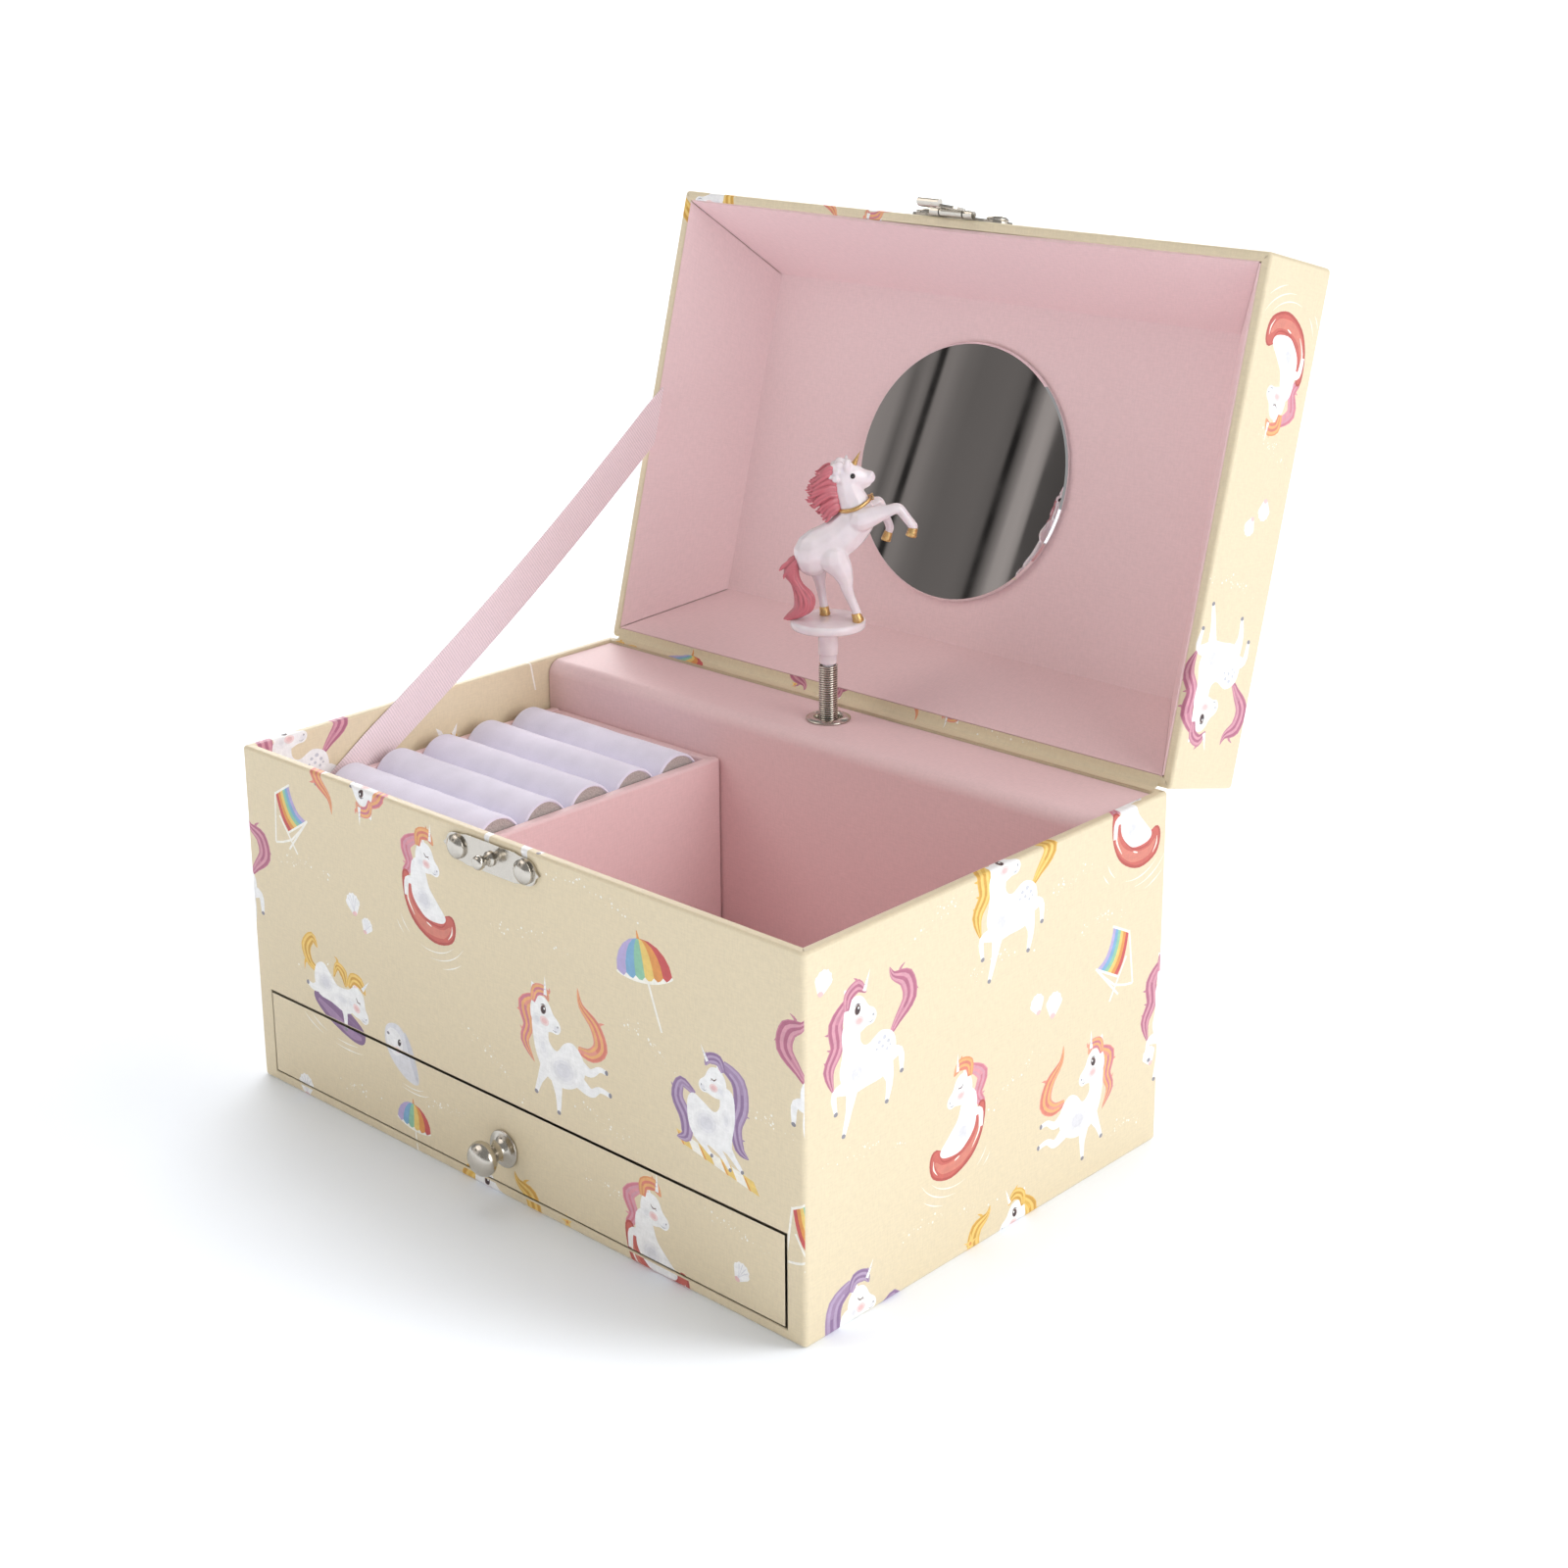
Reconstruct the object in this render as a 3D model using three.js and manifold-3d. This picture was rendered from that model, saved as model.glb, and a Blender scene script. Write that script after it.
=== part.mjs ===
// A musical jewellery box in paper-covered board: a case with a drawer, ring rolls and a music
// movement behind a cover, a hinged lid with a mirror, and a unicorn that turns on a coil spring.
// Millimetres. +X is the right of someone facing the front, +Y is the back and +Z is up.
// The origin is the centre of the case's footprint, on the surface that it stands on.
// The lid is shown open, held by its stay ribbon.
import * as THREE from "three";
import { mergeVertices } from "three/addons/utils/BufferGeometryUtils.js";
import Module from "manifold-3d";

const wasm = await Module();
wasm.setup();

// ---------- driving dimensions ----------
const WIDTH = 180;
const DEPTH = 120;
const CASE_HEIGHT = 85.5;
const LID_HEIGHT = 26.2;
const BOARD = 2.5;
const LID_TOP_BOARD = 2.3;
const OPEN_ANGLE = 105;
const SHELF_UNDERSIDE = 24.5;
const PANEL_LOWER_EDGE = 24;
const GAP = 0.3;

const HALF_WIDTH = WIDTH / 2;
const HALF_DEPTH = DEPTH / 2;
const INNER_X = HALF_WIDTH - BOARD;
const INNER_Y = HALF_DEPTH - BOARD;
const SHELF_TOP = SHELF_UNDERSIDE + BOARD;

// The lid turns about a line just behind and above the case's back edge.
const HINGE_Y = HALF_DEPTH + GAP;
const HINGE_Z = CASE_HEIGHT + GAP / 2;

// The pink insert: ring tray on the left, open compartment on the right, movement cover at the back.
const COVER = { front: 35, top: 84.8, board: 2, fold: 3.5 };
const PARTITION = { left: -27.5, right: -24.5, top: 72.8 };
const LINING = { board: 1, top: 84.6 };
const TRAY_LEFT = -85.5;
const TRAY_BOARD = 2.5;
const ROLL = { count: 6, radius: 7, pitch: 14.5, height: 69, backmost: 23.3 };

// The spindle that carries the figurine, and the point where its coil spring bends.
const SPINDLE = { x: -1.2, y: 48.6, radius: 1.4 };
const BEND_Z = 89.8;
const SPRING = { radius: 2.35, bore: 1.7, top: 99 };
const PLATFORM = { radius: 9.1, underside: 108, top: 110.2, stub: 2.3 };
const FIGURE_FACING = 44;

// The wheels of the movement stand on vertical arbors, apart from the barrel and the governor fan.
const WHEEL_MODULE = 0.6;
const WHEEL_BACKLASH = 0.15;
const DRUM_TEETH = 24;
const PINION_TEETH = 12;
const WORM_WHEEL_TEETH = 24;
const WHEEL_SPACING = ((DRUM_TEETH + PINION_TEETH) * WHEEL_MODULE) / 2 + WHEEL_BACKLASH;
const DRUM = { y: 46.4, radius: 5.5, low: 37, high: 63.5 };
DRUM.x = SPINDLE.x + Math.sqrt(WHEEL_SPACING ** 2 - (SPINDLE.y - DRUM.y) ** 2);
const TRAIN = { low: 64, high: 66.5 };
const GOVERNOR = { y: 47.9 };
GOVERNOR.x = DRUM.x + Math.sqrt(WHEEL_SPACING ** 2 - (GOVERNOR.y - DRUM.y) ** 2);
const FAN = { x: GOVERNOR.x + 8.4, z: 67.65, radius: 4.65 };
const BARREL = { x: -7.4, z: 42, radius: 9.2, low: 43.5, high: 53.6, teeth: 22 };
const BEDPLATE = { front: 54.8, back: 57.3, left: -22, right: 36, low: 30, high: 72.5 };
const FLANGE = 2;

// The stay ribbon hangs between the left walls and the pink insert, and between the lid and its liner.
const RIBBON = { width: 10, thickness: 0.5, x: -86.95, reach: 59.5 };

// ---------- materials ----------
const material = (color, roughness, metalness = 0) =>
  new THREE.MeshStandardMaterial({ color, roughness, metalness });
const printedPaper = material(0xd9c69c, 0.6);
const pinkPaper = material(0xdcb0b2, 0.7);
const velvet = material(0xded9ec, 0.95);
const foam = material(0xbdb2ae, 0.9);
const ribbonCloth = material(0xe9c9cf, 0.8);
const nickel = material(0xbfb9b0, 0.25, 1);
const steel = material(0x9c9a96, 0.35, 1);
const brass = material(0xb8964a, 0.35, 1);
const mirrorGlass = material(0x8a8a88, 0.03, 1);
const whiteResin = material(0xf3eceb, 0.3);
const pinkResin = material(0xc9667a, 0.45);

// ---------- geometry helpers ----------
function box(x0, x1, y0, y1, z0, z1) {
  const made = new THREE.BoxGeometry(x1 - x0, y1 - y0, z1 - z0);
  return made.translate((x0 + x1) / 2, (y0 + y1) / 2, (z0 + z1) / 2);
}

// A solid for manifold-3d, from a closed geometry.
function solid(geometry) {
  const bare = geometry.index ? geometry.toNonIndexed() : geometry.clone();
  bare.deleteAttribute("normal");
  bare.deleteAttribute("uv");
  const merged = mergeVertices(bare, 1e-4);
  return new wasm.Manifold(
    new wasm.Mesh({
      numProp: 3,
      vertProperties: new Float32Array(merged.attributes.position.array),
      triVerts: new Uint32Array(merged.index.array),
    }),
  );
}

function geometryOf(made) {
  const mesh = made.getMesh();
  const geometry = new THREE.BufferGeometry();
  geometry.setAttribute("position", new THREE.BufferAttribute(mesh.vertProperties, 3));
  geometry.setIndex(new THREE.BufferAttribute(mesh.triVerts, 1));
  geometry.computeVertexNormals();
  return geometry;
}

const join = (...parts) => geometryOf(parts.map(solid).reduce((a, b) => a.add(b)));
const cut = (body, ...tools) =>
  geometryOf(tools.map(solid).reduce((a, b) => a.subtract(b), solid(body)));

// Turned about +Z: profile points are [radius, height], from the axis to the axis, rising outside.
function turned(profile, sides = 20) {
  const points = profile.map(([r, z]) => new THREE.Vector2(r, z));
  return new THREE.LatheGeometry(points, sides).rotateX(Math.PI / 2);
}

// A tube about +Z, whose profile closes on itself.
function ring(inner, outer, low, high, sides = 20) {
  return turned([[inner, low], [outer, low], [outer, high], [inner, high], [inner, low]], sides);
}

const rod = (radius, low, high, sides = 16) =>
  turned([[0, low], [radius, low], [radius, high], [0, high]], sides);

// Lays a piece made about +Z along +Y instead, so that a height becomes a y.
const alongY = (geometry) => geometry.rotateX(-Math.PI / 2);
const at = (geometry, x, y, z = 0) => geometry.translate(x, y, z);

function extruded(outline, low, high) {
  const corners = outline instanceof THREE.Shape ? outline.getPoints(6) : outline.map((p) => new THREE.Vector2(...p));
  const kept = corners.filter((p, i) => p.distanceTo(corners[(i + 1) % corners.length]) > 1e-3);
  const shape = new THREE.Shape(kept);
  shape.holes = outline.holes ?? [];
  const made = new THREE.ExtrudeGeometry(shape, {
    depth: high - low,
    bevelEnabled: false,
    curveSegments: 6,
  });
  return made.translate(0, 0, low);
}

// A spur wheel with straight-sided teeth, slimmer than their spaces so that two run freely.
function spurWheel(teeth, low, high, module = WHEEL_MODULE) {
  const pitch = (teeth * module) / 2;
  const step = (2 * Math.PI) / teeth;
  const outline = [];
  for (let i = 0; i < teeth; i += 1) {
    const corners = [[-0.3, -1.1], [-0.12, 0.8], [0.12, 0.8], [0.3, -1.1]];
    for (const [turn, rise] of corners) {
      const angle = (i + turn) * step;
      const radius = pitch + rise * module;
      outline.push([radius * Math.cos(angle), radius * Math.sin(angle)]);
    }
  }
  return extruded(outline, low, high);
}

function ellipsoid(centre, radii, tilt = 0) {
  const ball = new THREE.SphereGeometry(1, 10, 7).scale(...radii);
  return ball.rotateY(THREE.MathUtils.degToRad(tilt)).translate(...centre);
}

// A limb that tapers from one point to another, with round ends.
function limb(from, to, radiusFrom, radiusTo, sides = 6) {
  const a = new THREE.Vector3(...from);
  const b = new THREE.Vector3(...to);
  const span = b.clone().sub(a);
  const shaft = new THREE.CylinderGeometry(radiusTo, radiusFrom, span.length(), sides);
  const turn = new THREE.Quaternion().setFromUnitVectors(
    new THREE.Vector3(0, 1, 0),
    span.clone().normalize(),
  );
  const middle = a.clone().lerp(b, 0.5);
  shaft.applyQuaternion(turn).translate(middle.x, middle.y, middle.z);
  const cap = new THREE.SphereGeometry(radiusTo, sides, 4).translate(b.x, b.y, b.z);
  return geometryOf(solid(shaft).add(solid(cap)));
}

// ---------- assembly ----------
const root = new THREE.Group();
const lid = new THREE.Group();
lid.position.set(0, HINGE_Y, HINGE_Z);
lid.rotation.x = -THREE.MathUtils.degToRad(OPEN_ANGLE);
const figurine = new THREE.Group();
figurine.position.set(SPINDLE.x, SPINDLE.y, 0);
figurine.rotation.z = THREE.MathUtils.degToRad(FIGURE_FACING);
root.add(lid, figurine);

function add(name, geometry, look, group = root) {
  const mesh = new THREE.Mesh(geometry, look);
  mesh.name = name;
  group.add(mesh);
}

// ---------- case boards ----------
const KEY_HOLE_RADIUS = 3;
const RIVET = { spacing: 21.8, hole: 1.25, shank: 0.9, head: 2.8, z: CASE_HEIGHT - 4.5 };

function rivetHoles(y0, y1, z) {
  return [-1, 1].map((side) =>
    at(alongY(rod(RIVET.hole, y0, y1, 12)), (side * RIVET.spacing) / 2, 0, z),
  );
}

function addCase() {
  add("base_board", box(-HALF_WIDTH, HALF_WIDTH, -HALF_DEPTH, HALF_DEPTH, 0, BOARD), printedPaper);
  for (const [name, inner, outer] of [
    ["left_wall", -INNER_X, -HALF_WIDTH],
    ["right_wall", INNER_X, HALF_WIDTH],
  ]) {
    const [x0, x1] = [Math.min(inner, outer), Math.max(inner, outer)];
    add(name, box(x0, x1, -HALF_DEPTH, HALF_DEPTH, BOARD, CASE_HEIGHT), printedPaper);
  }
  const backBoard = box(-INNER_X, INNER_X, INNER_Y, HALF_DEPTH, BOARD, CASE_HEIGHT);
  const keyHole = at(alongY(rod(KEY_HOLE_RADIUS, INNER_Y - 1, HALF_DEPTH + 1)), BARREL.x, 0, BARREL.z);
  add("back_wall", cut(backBoard, keyHole), printedPaper);
  const frontBoard = box(-INNER_X, INNER_X, -HALF_DEPTH, -INNER_Y, PANEL_LOWER_EDGE, CASE_HEIGHT);
  const holes = rivetHoles(-HALF_DEPTH - 1, -INNER_Y + 1, RIVET.z);
  add("front_panel", cut(frontBoard, ...holes), printedPaper);
  add("shelf_board", box(-INNER_X, INNER_X, -INNER_Y, INNER_Y, SHELF_UNDERSIDE, SHELF_TOP), printedPaper);
  for (const [name, side] of [["left_drawer_rail", -1], ["right_drawer_rail", 1]]) {
    const edges = [side * (INNER_X - BOARD), side * INNER_X].sort((a, b) => a - b);
    // The front end stands under the front panel, whose lower edge it meets.
    const rail = box(...edges, -INNER_Y, INNER_Y, BOARD, SHELF_UNDERSIDE);
    const end = box(...edges, -HALF_DEPTH, -INNER_Y, BOARD, PANEL_LOWER_EDGE);
    add(name, join(rail, end), printedPaper);
  }
}

// ---------- drawer ----------
const DRAWER = { halfWidth: 84.5, low: 3, high: 23.4, back: 55, side: 22, board: 2 };
const KNOB_Z = 12.1;

function addDrawer() {
  const { halfWidth, low, high, back, side, board } = DRAWER;
  const frontInside = -HALF_DEPTH + BOARD;
  const floorTop = low + 1.6;
  const front = box(-halfWidth, halfWidth, -HALF_DEPTH, frontInside, low, high);
  const screwHole = at(alongY(rod(1.6, -HALF_DEPTH - 1, frontInside + 1, 12)), 0, 0, KNOB_Z);
  add("drawer_front", cut(front, screwHole), printedPaper);
  add("drawer_floor", box(-halfWidth, halfWidth, frontInside, back, low, floorTop), pinkPaper);
  add("drawer_left_side", box(-halfWidth, -halfWidth + board, frontInside, back, floorTop, side), pinkPaper);
  add("drawer_right_side", box(halfWidth - board, halfWidth, frontInside, back, floorTop, side), pinkPaper);
  const inner = halfWidth - board;
  add("drawer_back", box(-inner, inner, back - board, back, floorTop, side), pinkPaper);
  const padFront = frontInside + 4;
  add("drawer_pad", box(-inner + GAP, inner - GAP, padFront, back - board - GAP, floorTop, floorTop + 1), pinkPaper);

  // The profile runs from the screw end of the knob to its round front, outwards along -Y.
  const knob = turned([
    [1.6, 0.1], [4.4, 0.1], [4.4, 0.7], [2.9, 1.2], [2.2, 1.9], [2.1, 4.2], [2.9, 4.8], [3.8, 5.4],
    [4.1, 6.3], [3.9, 7.3], [2.9, 8.3], [1.4, 8.9], [0, 9.0], [0, 6], [1.6, 6], [1.6, 0.1],
  ], 24);
  add("drawer_knob", at(knob.rotateX(Math.PI / 2), 0, -HALF_DEPTH, KNOB_Z), nickel);
  const screw = turned([[0, -1.4], [3, -1.4], [3, -0.4], [1.2, -0.2], [1.2, 8], [0, 8]], 16);
  add("drawer_knob_screw", at(screw.rotateX(Math.PI / 2), 0, frontInside + 0.3, KNOB_Z), steel);
}

// ---------- pink insert and ring rolls ----------
function addInsert() {
  const trayBack = COVER.front - GAP;
  const floorBoard = 1.5;
  const outer = box(TRAY_LEFT, PARTITION.right, -INNER_Y + GAP, trayBack, SHELF_TOP, PARTITION.top);
  const hollow = box(
    TRAY_LEFT + TRAY_BOARD, PARTITION.left,
    -INNER_Y - 1, trayBack - TRAY_BOARD,
    SHELF_TOP + floorBoard, PARTITION.top + 1,
  );
  add("ring_tray", cut(outer, hollow), pinkPaper);

  const left = TRAY_LEFT + TRAY_BOARD + GAP;
  const right = PARTITION.left - GAP;
  const blockTop = ROLL.height - ROLL.radius - 0.2;
  const front = -INNER_Y + GAP + 1;
  const back = trayBack - TRAY_BOARD - GAP;
  add("ring_foam_block", box(left, right, front, back, SHELF_TOP + floorBoard, blockTop), foam);
  for (let i = 0; i < ROLL.count; i += 1) {
    const roll = rod(ROLL.radius, left, right, 20).rotateY(Math.PI / 2);
    add(`ring_roll_${i + 1}`, at(roll, 0, ROLL.backmost - i * ROLL.pitch, ROLL.height), velvet);
  }
  // An L of thin board lines the open compartment's front and right walls.
  const { board, top } = LINING;
  const [x0, x1] = [PARTITION.right + GAP, INNER_X - GAP];
  const [y0, y1] = [-INNER_Y + GAP, trayBack];
  const frontLining = box(x0, x1, y0, y0 + board, SHELF_TOP, top);
  const rightLining = box(x1 - board, x1, y0, y1, SHELF_TOP, top);
  const holes = rivetHoles(y0 - 1, y0 + board + 1, RIVET.z);
  add("compartment_lining", cut(join(frontLining, rightLining), ...holes), pinkPaper);
  const pad = box(x0, x1 - board - GAP, y0 + board + GAP, y1, SHELF_TOP, SHELF_TOP + 1);
  add("compartment_pad", pad, pinkPaper);
}

// The cover folds from a front face into a top, and runs from wall to wall.
const EYELET = { hole: 4.2, barrel: 3.9, bore: 3.3, flange: 5.5 };
const STOP_PIN = { x: -7.5, y: 55.6, radius: 0.8, top: 86.6 };

function addCover() {
  const { front, top, board, fold } = COVER;
  const back = INNER_Y - GAP;
  const section = new THREE.Shape();
  section.moveTo(front, SHELF_TOP);
  section.lineTo(front, top - fold);
  section.absarc(front + fold, top - fold, fold, Math.PI, Math.PI / 2, true);
  section.lineTo(back, top);
  section.lineTo(back, top - board);
  section.lineTo(front + fold, top - board);
  section.absarc(front + fold, top - fold, fold - board, Math.PI / 2, Math.PI, false);
  section.lineTo(front + board, SHELF_TOP);
  section.closePath();
  const halfLength = INNER_X - GAP;
  // The section is drawn as (y, z) and extruded along x.
  const shell = extruded(section, -halfLength, halfLength).applyMatrix4(
    new THREE.Matrix4().makeBasis(
      new THREE.Vector3(0, 1, 0),
      new THREE.Vector3(0, 0, 1),
      new THREE.Vector3(1, 0, 0),
    ),
  );
  const spindleHole = at(rod(EYELET.hole, top - 5, top + 5, 24), SPINDLE.x, SPINDLE.y);
  const pinHole = at(rod(STOP_PIN.radius + GAP, top - 5, top + 5, 12), STOP_PIN.x, STOP_PIN.y);
  add("movement_cover", cut(shell, spindleHole, pinHole), pinkPaper);

  const { barrel, bore, flange } = EYELET;
  const eyelet = turned([
    [bore, top - 3.2], [flange - 0.8, top - 3.2], [flange - 0.8, top - 2.3], [barrel, top - 2.3],
    [barrel, top + 0.1], [flange, top + 0.1], [flange, top + 0.5], [flange - 0.8, top + 1],
    [bore + 0.5, top + 0.9], [bore, top + 0.4], [bore, top - 3.2],
  ], 24);
  add("spindle_eyelet", at(eyelet, SPINDLE.x, SPINDLE.y), nickel);
}

// ---------- latch on the case front ----------
// A strap plate with a round lobe about each rivet, in the (x, z) plane, about its own centre.
function latchOutline(halfLength, halfHeight) {
  const lobe = 3.1;
  const rivetX = RIVET.spacing / 2;
  const outline = new THREE.Shape();
  outline.moveTo(-rivetX + 3, halfHeight);
  outline.lineTo(rivetX - 3, halfHeight);
  outline.quadraticCurveTo(rivetX - 1.8, lobe, rivetX, lobe);
  outline.quadraticCurveTo(rivetX + 3, lobe, halfLength - 1, 0.8);
  outline.lineTo(halfLength, 0);
  outline.lineTo(halfLength - 1, -0.8);
  outline.quadraticCurveTo(rivetX + 3, -lobe, rivetX, -lobe);
  outline.quadraticCurveTo(rivetX - 1.8, -lobe, rivetX - 3, -halfHeight);
  outline.lineTo(-rivetX + 3, -halfHeight);
  outline.quadraticCurveTo(-rivetX + 1.8, -lobe, -rivetX, -lobe);
  outline.quadraticCurveTo(-rivetX - 3, -lobe, -halfLength + 1, -0.8);
  outline.lineTo(-halfLength, 0);
  outline.lineTo(-halfLength + 1, 0.8);
  outline.quadraticCurveTo(-rivetX - 3, lobe, -rivetX, lobe);
  outline.quadraticCurveTo(-rivetX + 1.8, lobe, -rivetX + 3, halfHeight);
  return outline;
}

const PLATE = { thickness: 0.6, halfLength: 15.5, halfHeight: 3.5 };

// A plate that lies on a face looking along -Y: its back is at y and its centre at height z.
function strapPlate(y, z) {
  const flat = extruded(latchOutline(PLATE.halfLength, PLATE.halfHeight), 0, PLATE.thickness);
  const upright = flat.rotateX(Math.PI / 2).translate(0, y, z);
  return cut(upright, ...rivetHoles(y - 2, y + 1, z));
}

// A hollow-set rivet along Y: its domed head is in front of the plate, its flare behind the board.
function rivet(side, y, z, grip) {
  const under = PLATE.thickness + 0.1;
  const inside = -grip - 0.1;
  const profile = turned([
    [0, inside - 0.5], [1.9, inside - 0.5], [1.9, inside], [RIVET.shank, inside],
    [RIVET.shank, under], [RIVET.head, under], [RIVET.head, under + 0.6],
    [RIVET.head - 0.6, under + 1.2], [RIVET.head - 1.8, under + 1.5], [0, under + 1.5],
  ], 16);
  return at(profile.rotateX(Math.PI / 2), (side * RIVET.spacing) / 2, y, z);
}

function addLatch() {
  const face = -HALF_DEPTH - 0.05;
  const post = turned([
    [0, 0], [1.7, 0], [1.7, 0.6], [1.1, 0.9], [1.1, 2.1], [1.6, 2.7], [1.6, 3.4], [1.0, 4.1], [0, 4.2],
  ], 16).rotateX(Math.PI / 2);
  add("latch_plate", strapPlate(face, RIVET.z), nickel);
  add("latch_post", at(post, 0, face - PLATE.thickness - 0.05, RIVET.z), nickel);
  for (const [name, side] of [["latch_rivet_left", -1], ["latch_rivet_right", 1]]) {
    add(name, rivet(side, -HALF_DEPTH, RIVET.z, BOARD + GAP + LINING.board), nickel);
  }
}

// ---------- lid, in its closed frame about the hinge line: -Y is forwards, +Z is up ----------
const LINER = { board: 1, rimInset: 3.7, floorInset: 18.2, floor: 22.8 };
const MIRROR = { radius: 32.4, thickness: 1.4 };
const HASP = { plateZ: 4.5, pinZ: 0.6, pinOut: 1.15, lip: -8.7 };

// A solid whose rectangular ends differ: half sizes at its bottom and at its top.
function taperedBlock(low, high, bottom, top, centreY) {
  const made = new THREE.BoxGeometry(2, 2, 2);
  const place = made.attributes.position;
  for (let i = 0; i < place.count; i += 1) {
    const [halfX, halfY] = place.getZ(i) > 0 ? top : bottom;
    place.setXYZ(i, place.getX(i) * halfX, place.getY(i) * halfY + centreY, place.getZ(i) > 0 ? high : low);
  }
  return made;
}

function addLid() {
  const rim = GAP / 2;
  const underTop = LID_HEIGHT - LID_TOP_BOARD;
  const middle = -HALF_DEPTH;
  add("lid_top_board", box(-HALF_WIDTH, HALF_WIDTH, -DEPTH, 0, underTop, LID_HEIGHT), printedPaper, lid);
  add("lid_left_wall", box(-HALF_WIDTH, -INNER_X, -DEPTH, 0, rim, underTop - 0.02), printedPaper, lid);
  add("lid_right_wall", box(INNER_X, HALF_WIDTH, -DEPTH, 0, rim, underTop - 0.02), printedPaper, lid);
  const [left, right] = [-INNER_X + 0.02, INNER_X - 0.02];
  add("lid_back_wall", box(left, right, -BOARD, 0, rim, underTop - 0.02), printedPaper, lid);
  const front = box(left, right, -DEPTH, -DEPTH + BOARD, rim, underTop - 0.02);
  const holes = rivetHoles(-DEPTH - 1, -DEPTH + BOARD + 1, HASP.plateZ);
  add("lid_front_wall", cut(front, ...holes), printedPaper, lid);

  const { board, rimInset, floorInset, floor } = LINER;
  const wideX = HALF_WIDTH - rimInset + board;
  const wideY = HALF_DEPTH - rimInset + board;
  const deepX = HALF_WIDTH - floorInset - 1 + board;
  const deepY = HALF_DEPTH - floorInset + board;
  const shell = taperedBlock(rim, floor + board, [wideX, wideY], [deepX, deepY], middle);
  const room = taperedBlock(
    rim - 0.01, floor,
    [wideX - board, wideY - board], [deepX - board, deepY - board], middle,
  );
  const halfSlot = RIBBON.width / 2 + 6.5;
  const slot = box(
    -HALF_WIDTH, RIBBON.x + RIBBON.thickness / 2 + 0.2,
    -RIBBON.reach - halfSlot, -RIBBON.reach + halfSlot,
    -1, rim + 2,
  );
  add("lid_liner", cut(shell, room, slot), pinkPaper, lid);
  const glassBack = floor - 0.1;
  const glass = turned([
    [0, glassBack - MIRROR.thickness], [MIRROR.radius - 0.5, glassBack - MIRROR.thickness],
    [MIRROR.radius, glassBack - MIRROR.thickness + 0.5], [MIRROR.radius, glassBack], [0, glassBack],
  ], 48);
  add("lid_mirror", at(glass, 0, middle), mirrorGlass, lid);
}

// The hasp: a riveted plate with two outer knuckles, and a flap that hangs on them over the post.
function addHasp() {
  const face = -DEPTH - 0.1;
  const pinY = face - HASP.pinOut;
  const knuckle = (x0, x1) =>
    at(rod(1.0, x0, x1, 12).rotateY(Math.PI / 2), 0, pinY, HASP.pinZ);
  const pin = at(rod(0.45, -6.4, 6.4, 8).rotateY(Math.PI / 2), 0, pinY, HASP.pinZ);
  const arm = (x0, x1) => box(x0, x1, face - PLATE.thickness, face - 0.02, HASP.pinZ, HASP.plateZ - 2);
  // The flap's own knuckle turns in a notch in the plate's lower edge.
  const notch = box(-3.7, 3.7, face - 2, face + 1, 0, HASP.pinZ + 1.4);
  const plate = join(
    cut(strapPlate(face, HASP.plateZ), notch),
    knuckle(-6.5, -3.8), knuckle(3.8, 6.5), arm(-6.5, -3.8), arm(3.8, 6.5), pin,
  );
  add("hasp_plate", plate, nickel, lid);
  for (const [name, side] of [["hasp_rivet_left", -1], ["hasp_rivet_right", 1]]) {
    add(name, rivet(side, -DEPTH, HASP.plateZ, BOARD), nickel, lid);
  }

  const outline = new THREE.Shape();
  outline.moveTo(-3.4, -0.6);
  outline.lineTo(-3.4, -1.5);
  outline.quadraticCurveTo(-6.6, -1.5, -6.5, -3.6);
  outline.quadraticCurveTo(-6.2, -6.6, -3.2, HASP.lip + 0.4);
  outline.lineTo(3.2, HASP.lip + 0.4);
  outline.quadraticCurveTo(6.2, -6.6, 6.5, -3.6);
  outline.quadraticCurveTo(6.6, -1.5, 3.4, -1.5);
  outline.lineTo(3.4, -0.6);
  const slot = new THREE.Path();
  slot.absarc(0, -3.9, 2.1, Math.PI, 0, true);
  slot.absarc(0, -5.4, 2.1, 0, -Math.PI, true);
  outline.holes.push(slot);
  const flapBack = pinY - 0.35;
  const leaf = extruded(outline, 0, 0.6).rotateX(Math.PI / 2).translate(0, flapBack, 0);
  const hub = at(ring(0.75, 1.0, -3.4, 3.4, 12).rotateY(Math.PI / 2), 0, pinY, HASP.pinZ);
  const bridge = box(-3.4, 3.4, flapBack - 0.6, flapBack, -1.2, -0.1);
  const lip = at(rod(1.0, -3.2, 3.2, 12).rotateY(Math.PI / 2), 0, flapBack - 0.75, HASP.lip);
  add("hasp_flap", join(leaf, hub, bridge, lip), nickel, lid);
}

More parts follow.
